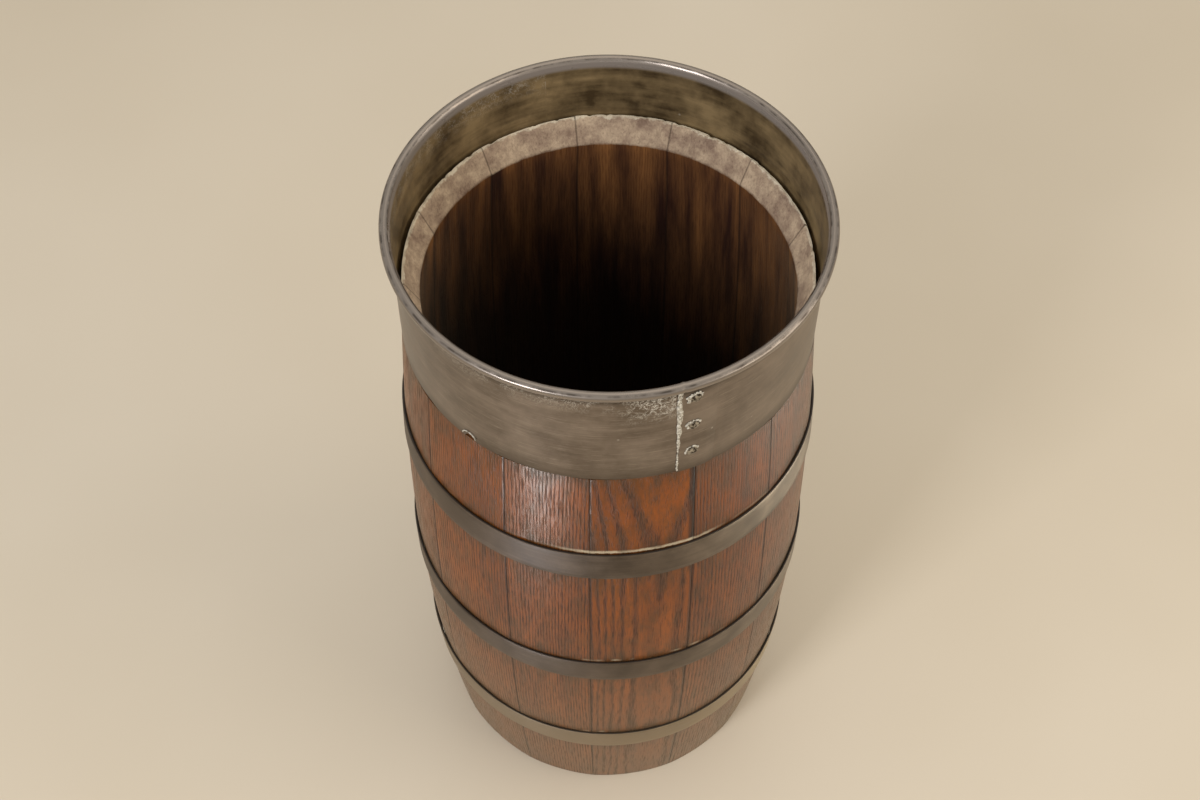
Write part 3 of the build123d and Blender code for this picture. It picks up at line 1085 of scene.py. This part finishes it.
@dataclass(frozen=True)
class Staves:
    """The thirteen bent staves, each its own piece, from the front one towards +X."""

    shell: Shell
    widths: tuple[int, ...] = (74, 68, 73, 73, 78, 73, 78, 81, 81, 72, 66, 75, 63)
    first_joint: float = -94.9
    joint_ease: float = 0.6 * MM
    chime_flat: float = 1.5 * MM
    bevel_drop: float = 19 * MM
    foot_flat: float = 6 * MM
    foot_rise: float = 12 * MM
    foot_ease: float = 1.2 * MM
    groove_foot: float = 30 * MM
    groove_top: float = 36.2 * MM
    groove_depth: float = 4 * MM
    open_joint: str = "stave_01"  # the joint after this one has opened a little
    open_width: float = 3 * MM
    arched: Log = Log(12 * MM, 78.2 * MM, 0.05, 0.74, 1.75, 421 * MM, 28 * MM)
    wide_rings_from: float = 372 * MM  # a log's own ring width starts behind the upper hoop
    wide_rings_over: float = 18 * MM
    flatness: float = 0.14  # how far each outside is planed from round towards flat
    worn_band: float = 6 * MM
    chip: float = 2.2 * MM
    # how far the painted shade beside the hoops and the collar reaches
    shade_reach: float = 9 * MM
    bright_dust: Hump = Hump(1.1, 7, 18, 4)  # in degrees from the front
    faint_dust: Hump = Hump(0.25, 20, 26)
    steps: int = 40
    seed: int = 11
    metal_edges: tuple[float, ...] = (
        Shell.collar_foot,
        *(hoop.top for hoop in HOOPS),
        *(hoop.top - hoop.width for hoop in HOOPS),
    )

    def build(self, finish: Material) -> None:
        """Builds every stave in place of its CAD node.

        Args:
            finish: The oak.
        """
        chance = random.Random(self.seed)
        start = self.first_joint
        for number, width in enumerate(self.widths, start=1):
            sweep = FULL_TURN * width / sum(self.widths)
            log = self.pick_log(number, chance)
            drop = chance.uniform(0, 0.7) * MM
            self.build_one(f"stave_{number:02d}", start, sweep, log, drop, finish)
            start += sweep

    def pick_log(self, number: int, chance: random.Random) -> Log:
        """Chooses a stave's place in the log; the front one is sawn near the heart, so it arches.

        Args:
            number: The stave's number.
            chance: The draws that the staves share.

        Returns:
            Its log.
        """
        side = chance.choice((-1, 1))
        across = side * chance.uniform(55, 110) * MM
        depth = chance.uniform(25, 60) * MM
        slope = chance.uniform(-0.02, 0.02)
        tone = chance.uniform(0.25, 0.7)
        if number == 1:
            return self.arched
        return Log(across, depth, slope, tone, chance.uniform(0.8, 1.25))

    def outline(self) -> Outline:
        """The stave's section, up the outside and down the inside.

        Returns:
            Its (radius, height) corners.
        """
        shell = self.shell
        seat = shell.collar_inside
        bevel_foot = shell.height - self.bevel_drop
        groove = shell.radius((self.groove_foot + self.groove_top) / 2, -shell.thickness) + self.groove_depth
        points = [(shell.radius(0) - self.foot_flat, 0), (shell.radius(0) - self.foot_ease, 0)]
        points += [(shell.radius(z), z) for z in spread(self.foot_ease, shell.collar_foot, 90)]
        points += [(min(shell.radius(z), seat), z) for z in spread(shell.collar_foot, shell.height, 8)]
        top = shell.radius(shell.height) - self.chime_flat
        low = shell.radius(bevel_foot, -shell.thickness)
        points += [(top + (low - top) * s, shell.height - self.bevel_drop * s) for s in spread(0, 1, 8)]
        inner = spread(bevel_foot, self.groove_top, 44)[1:]
        points += [(shell.radius(z, -shell.thickness), z) for z in inner]
        points += [(groove, self.groove_top), (groove, self.groove_foot)]
        inner = spread(self.groove_foot, self.foot_rise, 3)
        points += [(shell.radius(z, -shell.thickness), z) for z in inner]
        return points

    def build_one(
        self, name: str, start: float, sweep: float, log: Log, drop: float, finish: Material
    ) -> None:
        """Builds one stave.

        Args:
            name: Its CAD node's name, which it stands for.
            start: Angle of its first joint.
            sweep: Angle between its joints.
            log: Where it lay in its log.
            drop: How much lower its top is than the tallest.
            finish: The oak.
        """
        shape = bmesh.new()
        spin_section(shape, start, self.outline(), sweep, self.steps)
        bmesh.ops.recalc_face_normals(shape, faces=shape.faces)
        joints = [edge for edge in shape.edges if self.is_joint_edge(edge, start, sweep)]
        ease_edges(shape, joints, self.joint_ease)
        self.mark_grain(shape, name, start, sweep, log)
        self.plane_outside(shape, start, sweep)
        self.wear_top(shape, drop)
        piece = finish_piece(f"oak_{name}", shape, finish, Slot.STAVES)
        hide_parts(name)

    def is_joint_edge(self, edge: bmesh.types.BMEdge, start: float, sweep: float) -> bool:
        """Finds the long outside edges at a stave's two joints.

        Args:
            edge: The edge in question.
            start: Angle of the first joint.
            sweep: Angle between the joints.

        Returns:
            True for an edge along either joint, below the collar.
        """
        for vertex in edge.verts:
            turn, z = turn_past(vertex.co, start), vertex.co.z
            at_joint = min(turn, FULL_TURN - turn, abs(turn - sweep)) < 0.01
            outside = abs(vertex.co.xy.length - self.shell.radius(z)) < 0.1 * MM
            if not (at_joint and outside and z < self.shell.collar_foot + MM):
                return False
        return True

    def plane_outside(self, shape: Shape, start: float, sweep: float) -> None:
        """Planes the outside a little flatter than the barrel's round.

        Args:
            shape: The stave's mesh.
            start: Angle of its first joint.
            sweep: Angle between its joints.
        """
        half = math.radians(sweep / 2)
        skin = 3 * MM
        for vertex in shape.verts:
            if vertex.co.xy.length >= self.shell.radius(vertex.co.z) - skin:
                off = math.radians(turn_from(vertex.co, start)) - half
                flat = math.cos(half) / math.cos(off)
                vertex.co.xy *= 1 - self.flatness * max(0.0, 1 - flat)

    def wear_top(self, shape: Shape, drop: float) -> None:
        """Lowers the top a little and chips its outside edge.

        Args:
            shape: The stave's mesh.
            drop: How much lower its top is than the tallest.
        """
        crown = self.shell.radius(self.shell.height)
        for vertex in shape.verts:
            near = (vertex.co.z - self.shell.height + self.worn_band) / self.worn_band
            if near <= 0:
                continue
            outer = vertex.co.xy.length > crown - self.chip
            vertex.co.z -= drop * near
            loss = waver(vertex.co, 5 * MM, 3.0) + 0.6 * waver(vertex.co, 2 * MM, 9.0)
            if outer and near > 0.9:
                vertex.co.z -= max(0.0, loss - 0.1) * self.chip

    def mark_grain(self, shape: Shape, name: str, start: float, sweep: float, log: Log) -> None:
        """Stores what the finish reads on the vertices: place in the log, side, dust, growth and painted
        shade by the metal.

        Args:
            shape: The stave's mesh.
            name: Its CAD node's name.
            start: Angle of its first joint.
            sweep: Angle between its joints.
            log: Where it lay in its log.
        """
        grain, side = (shape.verts.layers.float_vector.new(layer) for layer in ("log", "side"))
        dust, growth, soil = (shape.verts.layers.float.new(layer) for layer in ("dust", "growth", "soil"))
        for vertex in shape.verts:
            radius, z = vertex.co.xy.length, vertex.co.z
            turn = turn_from(vertex.co, start)
            across = math.radians(turn - sweep / 2) * radius
            into = radius - self.shell.radius(limit(z, 0, self.shell.height))
            vertex[grain] = (across - log.across, log.depth + log.crook(z) + into, z + start)
            to_joint = math.radians(max(0.0, min(turn, sweep - turn))) * radius
            if name == self.open_joint and turn > sweep / 2:
                to_joint -= self.open_width * limit((z - 330 * MM) / (60 * MM), 0.25)
            vertex[side] = (limit(-into / self.shell.thickness), log.tone, to_joint)
            vertex[dust] = self.dust_at(start + turn, z)
            wide = limit((z - self.wide_rings_from) / self.wide_rings_over)
            vertex[growth] = 1 + (log.growth - 1) * wide
            # painted shade beside the hoops and under the collar
            vertex[soil] = self.metal_shade_at(z)

    def metal_shade_at(self, height: float) -> float:
        """How much painted shade darkens the wood beside the hoops and under the collar."""
        nearest = min(abs(height - edge) for edge in self.metal_edges)
        return math.exp(-nearest / self.shade_reach)

    def dust_at(self, angle: float, height: float) -> float:
        """How much dust lies on the hoop below: most of it right of the front, a little all round.

        Args:
            angle: Angle round the barrel.
            height: Height over the floor.

        Returns:
            The dust, from 0 to 1.
        """
        from_front = (angle + 90 + 180) % FULL_TURN - 180
        bright, faint = self.bright_dust.at(from_front), self.faint_dust.at(from_front)
        spots = waver(around(angle, 0.15, round(height, 2)), 9 * MM, 4.0)
        if height > self.shell.bilge_height + 60 * MM:
            return limit((bright + faint) * (0.85 + 0.7 * spots) + 0.2 * spots)
        return limit((0.6 * bright + faint + 0.1) * (2.4 * spots - 0.5), high=0.6)


@dataclass(frozen=True)
class BottomHead:
    """The four head boards and their dowels, which keep their CAD shape."""

    boards: tuple[str, ...] = ("head_cant_left", "head_board_left", "head_board_right", "head_cant_right")
    dowels: str = "head_dowels"

    def build(self, nodes: dict[str, Object], finish: Material) -> None:
        """Dresses the boards and dowels."""
        for name in (*self.boards, self.dowels):
            dress(nodes[name], finish)


# ---- Hoops ----


@dataclass(frozen=True)
class Hoop:
    """One iron strip bent to a ring, its ends lapped and riveted at the back."""

    shell: Shell
    strip: Strip
    seed: float
    thickness: float = 1.8 * MM
    lap: float = 36 * MM
    ramp: float = 10 * MM
    lap_angle: float = 84.0
    lap_gap: float = 0.02 * MM
    thinning: float = 0.95  # share of its height that the lap's far end loses
    edge_round: float = 0.45 * MM
    corner: float = 50.0  # edges that turn by more degrees than this are rounded
    wander: float = 0.45 * MM
    rivet_spacing: float = 16 * MM
    rivet: RivetHead = RivetHead(4.2 * MM, 1.9 * MM)
    steps: int = 480
    lap_steps: int = 24

    @property
    def foot(self) -> float:
        """Height of the lower edge."""
        return self.strip.top - self.strip.width

    @property
    def middle(self) -> float:
        """Height of the strip's middle."""
        return self.strip.top - self.strip.width / 2

    def build(self, finish: Material, rivet_finish: Material) -> None:
        """Builds the ring with its lap, and its rivets.

        Args:
            finish: The iron.
            rivet_finish: The rivets' metal.
        """
        shape = bmesh.new()
        spin_section(shape, self.lap_angle, self.outline(0.0), FULL_TURN, self.steps)
        self.add_lap(shape)
        bmesh.ops.remove_doubles(shape, verts=shape.verts, dist=0.005 * MM)
        bmesh.ops.recalc_face_normals(shape, faces=shape.faces)
        sharp = math.radians(self.corner)
        corners = [edge for edge in shape.edges if edge.is_manifold and edge.calc_face_angle() > sharp]
        ease_edges(shape, corners, self.edge_round)
        self.bend_by_hand(shape)
        mark_strip(shape, self.lap_angle, self.foot, self.is_edge)
        piece = finish_piece(f"iron_{self.strip.name}", shape, finish, Slot.HOOP)
        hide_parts(self.strip.name)
        self.build_rivets(rivet_finish)

    def is_edge(self, radius: float, height: float) -> bool:
        """True on the strip's narrow top edge and its inner face, which are darkened as painted shade."""
        level = limit(height, self.foot, self.strip.top)
        return radius < self.shell.radius(level, self.thickness) - SKIN

    def outline(self, offset: float) -> Outline:
        """The strip's section.

        Args:
            offset: How far outside the wood its inner face is.

        Returns:
            Its (radius, height) corners.
        """
        heights = spread(self.foot, self.strip.top, 6)
        inner = [(self.shell.radius(z, offset), z) for z in heights]
        outer = [(self.shell.radius(z, offset + self.thickness), z) for z in reversed(heights)]
        return inner + outer

    def add_lap(self, shape: Shape) -> None:
        """Adds the outer layer of the lap, which thins to nothing at its far end.

        Args:
            shape: The hoop's mesh.
        """
        radius = self.shell.radius(self.middle, self.thickness)
        lap_turn = math.degrees(self.lap / radius)
        ramp_turn = math.degrees(self.ramp / radius)
        start = self.lap_angle - lap_turn / 2
        section = self.outline(self.thickness + self.lap_gap)
        for vertex in spin_section(shape, start, section, lap_turn + ramp_turn, self.lap_steps):
            reach = vertex.co.xy.length
            turn = turn_past(vertex.co, start)
            past = max(0.0, (turn - lap_turn) / ramp_turn) if turn < 180 else 0.0
            level = limit(vertex.co.z, self.foot, self.strip.top)
            outside = reach - self.shell.radius(level, self.thickness)
            vertex.co.xy *= 1 - outside * past * self.thinning / reach

    def bend_by_hand(self, shape: Shape) -> None:
        """Lets the strip's edges wander a little, as a strip drawn round by hand does.

        Args:
            shape: The hoop's mesh.
        """
        for vertex in shape.verts:
            level = Vector((vertex.co.x, vertex.co.y, self.seed))
            vertex.co.z += waver(level, 90 * MM, self.seed) * self.wander

    def build_rivets(self, finish: Material) -> None:
        """Builds the two rivets through the lap.

        Args:
            finish: Their metal.
        """
        radius = self.shell.radius(self.middle, 2 * self.thickness)
        shape = bmesh.new()
        for place in (-0.5, 0.5):
            angle = self.lap_angle + place * math.degrees(self.rivet_spacing / radius)
            self.rivet.add(shape, angle, radius, self.middle, self.shell.lean(self.middle))
        name = f"{self.strip.name}_rivets"
        piece = finish_piece(f"iron_{name}", shape, finish, Slot.HOOP_RIVET, crease=60)
        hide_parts(name)


# ---- Collar ----


@dataclass(frozen=True)
class Collar:
    """The sheet sleeve round the stave tops: curled rim, lapped upright seam and a torn lower edge."""

    shell: Shell
    rim: float = 575 * MM
    wire: float = 2.4 * MM
    curl: float = 300.0
    gap: float = 0.5 * MM
    seam_angle: float = -72.2
    lap: float = 18 * MM
    ramp: float = 7 * MM
    lap_gap: float = 0.02 * MM
    thinning: float = 0.95  # share of its height that the lap's far end loses
    tear_angle: float = -129.5
    tear_width: float = 9 * MM
    tear_height: float = 5.5 * MM
    tear_reach: float = 16 * MM
    lip_wire: float = 0.4 * MM
    groove: Hump = Hump(0.4 * MM, 58, 13)  # along the bead's crown, in degrees up from level
    crust: Hump = Hump(1.0, 0.64, 0.26)  # thickest two thirds of the way up the seam
    crust_lumps: int = 120
    crust_seed: int = 5
    splash_seed: int = 8
    rivet_drops: tuple[float, ...] = (19 * MM, 47.5 * MM, 75.5 * MM)
    rivet: RivetHead = RivetHead(4.2 * MM, 1.6 * MM)
    # the solder round each rivet lies on its upper side, partly as a painted highlight
    splash_and_highlight: tuple[float, ...] = (1.5, 1.0, 0.7)  # how much solder lies round each rivet, from the top
    steps: int = 720
    lap_steps: int = 22

    @property
    def outside(self) -> float:
        """Radius of the sleeve's outside."""
        return self.shell.collar_inside + self.shell.sheet

    @property
    def bead(self) -> float:
        """Radius of the rolled rim's section."""
        return self.wire + self.shell.sheet

    @property
    def bead_foot(self) -> float:
        """Height of the rolled rim's lowest point."""
        return self.rim - 2 * self.bead

    @property
    def lap_middle(self) -> float:
        """Angle of the middle of the lap, where the rivets are."""
        return self.seam_angle + math.degrees(self.lap / self.outside) / 2

    def build(self, sheet: Material, crust: Material, rivet: Material) -> None:
        """Builds the sleeve, the torn lip, the crust on its seam and the rivets.

        Args:
            sheet: The sleeve's finish.
            crust: The solder's.
            rivet: The rivets'.
        """
        shape = bmesh.new()
        spin_section(shape, self.seam_angle, self.outline(), FULL_TURN, self.steps)
        self.add_lap(shape)
        self.tear_edge(shape)
        self.dent(shape)
        mark_strip(shape, self.seam_angle, self.shell.collar_foot, self.is_inside)
        piece = finish_piece("sheet_collar", shape, sheet, Slot.COLLAR)
        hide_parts("collar")
        self.build_lip(crust)
        self.build_crust(crust)
        self.build_splashes_and_highlights(crust)
        self.build_rivets(rivet)

    def is_inside(self, radius: float, height: float) -> bool:
        """True on the sleeve's inner face."""
        return radius < self.shell.collar_inside + SKIN and height < self.rim

    def outline(self) -> Outline:
        """Section of the sleeve and its curl, up the inside, over the wire and back down the outside.

        Returns:
            Its (radius, height) corners.
        """
        inside = self.shell.collar_inside
        centre = inside + self.bead
        level = self.rim - self.bead
        wall = spread(self.shell.collar_foot, level, 18)
        turns = [math.radians(turn) for turn in spread(180, 180 - self.curl, 20)]
        points = [(inside, z) for z in wall[:-1]]
        for reach, bends in ((self.bead, turns), (self.wire, turns[::-1])):
            points += [(centre + reach * math.cos(turn), level + reach * math.sin(turn)) for turn in bends]
        points += [(self.outside, z) for z in reversed(wall[:-1])]
        return points

    def add_lap(self, shape: Shape) -> None:
        """Adds the outer sheet of the seam, free at its left edge and thinned at the other.

        Args:
            shape: The collar's mesh.
        """
        lap_turn = math.degrees(self.lap / self.outside)
        ramp_turn = math.degrees(self.ramp / self.outside)
        heights = spread(self.shell.collar_foot, self.bead_foot - self.gap, 40)
        section = [(self.outside + self.lap_gap, z) for z in heights]
        section += [(self.outside + self.shell.sheet, z) for z in reversed(heights)]
        sweep = lap_turn + ramp_turn
        for vertex in spin_section(shape, self.seam_angle, section, sweep, self.lap_steps):
            radius, z = vertex.co.xy.length, vertex.co.z
            turn = turn_past(vertex.co, self.seam_angle)
            turn = turn if turn < 180 else 0.0
            past = max(0.0, (turn - lap_turn) / ramp_turn)
            radius -= (radius - self.outside) * past * self.thinning
            free = max(0.0, 1 - turn / 1.2)
            shift = free * (0.45 * waver_at(z, 9 * MM, 6.0) + 0.2 * waver_at(z, 3 * MM)) * MM
            vertex.co = around(self.seam_angle + turn + math.degrees(shift / radius), radius, z)

    def tear_edge(self, shape: Shape) -> None:
        """Draws the lower edge up into a ragged nick.

        Args:
            shape: The collar's mesh.
        """
        for vertex in shape.verts:
            over = vertex.co.z - self.shell.collar_foot
            run = math.radians(turn_from(vertex.co, self.tear_angle)) * self.outside
            off = abs(run) / (self.tear_width / 2)
            if over <= self.tear_reach and off <= 1:
                lift = self.tear_height * (1 - off**1.6) * (0.85 + 0.3 * waver(vertex.co, 2 * MM, 2.0))
                vertex.co.z += lift * (1 - over / self.tear_reach)

    def dent(self, shape: Shape) -> None:
        """Lets the sheet wave a little, and nicks the rim where the seam crosses it.

        Args:
            shape: The collar's mesh.
        """
        for vertex in shape.verts:
            radius, z = vertex.co.xy.length, vertex.co.z
            soft = waver(vertex.co, 60 * MM, 1.0) + 0.35 * waver(vertex.co, 14 * MM, 7.0)
            depth = 0.35 * MM * (soft - 0.6)
            if z > self.bead_foot and radius > self.shell.collar_inside + 0.2 * MM:
                nick = max(0.0, 1 - abs(turn_from(vertex.co, self.seam_angle)) / 0.6)
                depth = 0.12 * MM * (soft - 0.8) - 0.5 * MM * nick
                vertex.co.z -= self.crown_groove(radius, z)
            vertex.co.xy *= 1 + depth / radius
            if z < self.shell.collar_foot + MM:
                vertex.co.z += 0.35 * MM * (1 + waver(vertex.co, 25 * MM, 8.0))

    def crown_groove(self, radius: float, height: float) -> float:
        """Depth of the shallow groove that the rolling left along the bead's crown.

        Args:
            radius: Distance from the axis.
            height: Height over the floor.

        Returns:
            The depth there.
        """
        across = radius - (self.shell.collar_inside + self.bead)
        turn = math.degrees(math.atan2(height - self.rim + self.bead, across))
        return self.groove.at(turn)

    def build_lip(self, finish: Material) -> None:
        """Builds the thin curled lip of torn metal over the tear, pale partly as bright metal and partly as
        a painted highlight.

        Args:
            finish: Its metal.
        """
        shape = bmesh.new()
        reach = self.tear_width * 0.6
        tube = bmesh.ops.create_circle(shape, segments=10, radius=self.lip_wire)["verts"]
        sides = list(shape.edges)
        bmesh.ops.translate(shape, vec=(0, reach, 0), verts=tube)
        bmesh.ops.spin(shape, geom=tube + sides, axis=(1, 0, 0), angle=math.pi, steps=24)
        bmesh.ops.holes_fill(shape, edges=shape.edges)
        for vertex in shape.verts:
            vertex.co.z *= 0.75
            vertex.co += 0.5 * MM * waver(vertex.co, 4 * MM, 2.0) * Vector((0.5, 0, 1))
        bmesh.ops.recalc_face_normals(shape, faces=shape.faces)
        height = self.shell.collar_foot + 0.6 * self.tear_height
        place = standing_at(self.tear_angle, self.outside + 0.3 * MM, height)
        bmesh.ops.transform(shape, matrix=place, verts=shape.verts)
        # The lip takes the pale solder finish, partly as a painted highlight on its curl.
        finish_piece("torn_lip", shape, finish, Slot.COLLAR)

    def build_crust(self, finish: Material) -> None:
        """Builds the lumps of old solder along the seam's free edge.

        Args:
            finish: The solder.
        """
        chance = random.Random(self.crust_seed)
        shape = bmesh.new()
        foot = self.shell.collar_foot
        for height in spread(foot + 2 * MM, self.bead_foot, self.crust_lumps):
            upper = (height - foot) / (self.bead_foot - foot)
            thick = 0.6 + self.crust.at(upper) + 0.6 * waver_at(height, 8 * MM, 3.0)
            size = max(0.3, thick * chance.uniform(0.6, 1.4)) * MM
            stretch = Vector((0.55, 0.9, chance.uniform(1.0, 1.9)))
            drift = 0.5 * waver_at(height, 9 * MM, 6.0)
            drift += chance.uniform(-0.35 - 1.6 * upper**3, 0.25)
            angle = self.seam_angle + math.degrees((drift - 0.35) * MM / self.outside)
            place = standing_at(angle, self.outside + 0.35 * MM, height)
            add_lump(shape, size, stretch, Vector((0, 0, height * 9)), 0.3, place)
        finish_piece("seam_crust", shape, finish, Slot.COLLAR, crease=70)

    def build_splashes_and_highlights(self, finish: Material) -> None:
        """Builds the crescents of pale solder round the rivets' upper sides, partly standing in as a painted
        highlight.

        Args:
            finish: The solder.
        """
        chance = random.Random(self.splash_seed)
        shape = bmesh.new()
        radius = self.outside + self.shell.sheet + 0.15 * MM
        for drop, amount in zip(self.rivet_drops, self.splash_and_highlight):
            for bearing in spread(25, 215, round(26 * amount)):
                reach = self.rivet.size * chance.uniform(0.8, 0.95 + 0.3 * amount)
                aside = reach * math.cos(math.radians(bearing))
                height = self.rim - drop + reach * 0.9 * math.sin(math.radians(bearing))
                size = chance.uniform(0.4, 0.95) * MM * (0.7 + 0.3 * amount)
                stretch = Vector((0.6, chance.uniform(0.9, 1.6), chance.uniform(0.8, 1.3)))
                place = standing_at(self.lap_middle + math.degrees(aside / self.outside), radius, height)
                add_lump(shape, size, stretch, Vector((0, bearing, height * 9)), 0.35, place)
        finish_piece("rivet_solder", shape, finish, Slot.COLLAR, crease=70)

    def build_rivets(self, finish: Material) -> None:
        """Builds the three rivets down the middle of the lap.

        Args:
            finish: Their metal.
        """
        shape = bmesh.new()
        for drop in self.rivet_drops:
            self.rivet.add(shape, self.lap_middle, self.outside + self.shell.sheet, self.rim - drop)
        piece = finish_piece("collar_rivet_heads", shape, finish, Slot.COLLAR_RIVET, crease=60)
        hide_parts("collar_rivets")


# ---- Studio ----


@dataclass(frozen=True)
class Lamp:
    """A soft square light that points at the barrel."""

    name: str
    azimuth: float
    elevation: float
    distance: float
    size: tuple[float, float]
    power: float
    tint: str = "#ffffff"
    gloss_only: bool = False  # a reflector that shows only as a sheen
    shows_on: tuple[str, ...] = ()  # beginnings of the names of the pieces that it reaches, or all

    def place(self, aim: Vector) -> None:
        """Hangs the light.

        Args:
            aim: What it points at.
        """
        data = bpy.data.lights.new(self.name, "AREA")
        data.shape = "RECTANGLE"
        data.size, data.size_y = self.size
        data.energy = self.power
        data.color = linear(self.tint)[:3]
        lamp = bpy.data.objects.new(self.name, data)
        level = self.distance * math.cos(math.radians(self.elevation))
        rise = self.distance * math.sin(math.radians(self.elevation))
        lamp.location = aim + around(self.azimuth, level, rise)
        lamp.rotation_euler = (aim - lamp.location).to_track_quat("-Z", "Y").to_euler()
        lamp.visible_diffuse = not self.gloss_only
        lamp.visible_camera = False
        bpy.context.scene.collection.objects.link(lamp)
        if self.shows_on:
            reached = bpy.data.collections.new(f"{self.name}_reach")
            for piece in bpy.context.scene.objects:
                if piece.name.startswith(self.shows_on):
                    reached.objects.link(piece)
            lamp.light_linking.receiver_collection = reached


LAMPS = (
    Lamp("window", -128, 36, 2.2, (0.5, 0.9), 23, "#f6f7ff"),
    Lamp("oak_reflector", -120, -31, 0.62, (0.12, 0.24), 2.9, "#dfe6e6", True, ("oak_",)),
    Lamp("iron_reflector", -120, -31, 0.62, (0.12, 0.24), 1.6, "#cfe0ff", True, ("iron_",)),
    Lamp("floor_bounce", -12, -24, 0.8, (0.5, 0.5), 14.0, "#ecefe4", True, ("oak_", "iron_")),
    Lamp("right_wall", -15, 30, 2.6, (2.0, 1.6), 23, "#fff4e6"),
    Lamp("ceiling", 60, 74, 2.8, (2.4, 2.4), 12, "#fff6ea"),
)


@dataclass(frozen=True)
class Studio:
    """A pale floor, soft lamps and the camera."""

    camera_place: tuple[float, float, float] = (-0.0058, -0.7205, 1.3697)
    camera_tilt: float = 35.74
    lens: float = 50.0
    aim_height: float = 0.35
    floor_size: float = 12.0
    floor_squares: int = 24
    flat_reach: float = 2.5
    dish: float = 0.05
    sky: str = "#eeebe6"
    sky_strength: float = 0.72

    def build(self) -> None:
        """Sets the floor, the lights, the world and the camera."""
        self.lay_floor()
        for lamp in LAMPS:
            lamp.place(Vector((0, 0, self.aim_height)))
        self.light_sky()
        self.stand_camera()

    def light_sky(self) -> None:
        """Fills the room with an even pale light."""
        world = bpy.data.worlds.new("studio_sky")
        world.use_nodes = True
        sky = world.node_tree.nodes["Background"]
        sky.inputs["Color"].default_value = linear(self.sky)
        sky.inputs["Strength"].default_value = self.sky_strength
        bpy.context.scene.world = world
        bpy.context.scene.view_settings.view_transform = "Standard"

    def stand_camera(self) -> None:
        """Stands the camera in front, looking down into the barrel."""
        data = bpy.data.cameras.new("camera")
        data.lens = self.lens
        camera = bpy.data.objects.new("camera", data)
        camera.location = self.camera_place
        camera.rotation_euler = (math.radians(self.camera_tilt), 0, 0)
        bpy.context.scene.collection.objects.link(camera)
        bpy.context.scene.camera = camera

    def lay_floor(self) -> None:
        """Lays the floor, gently dished up far from the barrel so that it has no horizon."""
        shape = bmesh.new()
        squares = self.floor_squares
        bmesh.ops.create_grid(shape, x_segments=squares, y_segments=squares, size=self.floor_size / 2)
        for vertex in shape.verts:
            vertex.co.z = self.dish * max(0.0, vertex.co.xy.length - self.flat_reach) ** 2
        mesh = bpy.data.meshes.new("floor")
        shape.to_mesh(mesh)
        shape.free()
        mesh.shade_smooth()
        mesh.materials.append(StudioFloor().make())
        floor = bpy.data.objects.new("floor", mesh)
        bpy.context.scene.collection.objects.link(floor)


def main() -> None:
    """Builds the barrel over its frame, in order."""
    logging.basicConfig(level=logging.INFO, format="%(name)s: %(message)s")
    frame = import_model()
    nodes = frame["nodes"]
    shell = Shell()
    Staves(shell).build(VarnishedOak().make())
    BottomHead().build(nodes, DarkOak().make())
    iron = BrownedIron().make()
    hoop_rivet = HammeredRivet("hoop_rivet", bright="#7d7060", dirt="#33291f", grain=3 * MM).make()
    for seed, strip in enumerate(HOOPS, start=2):
        Hoop(shell, strip, float(seed)).build(iron, hoop_rivet)
    Collar(shell).build(TarnishedSheet().make(), SolderCrust().make(), HammeredRivet().make())
    dress(nodes["rim_wire"], iron)
    Studio().build()


if __name__ == "__main__":
    main()
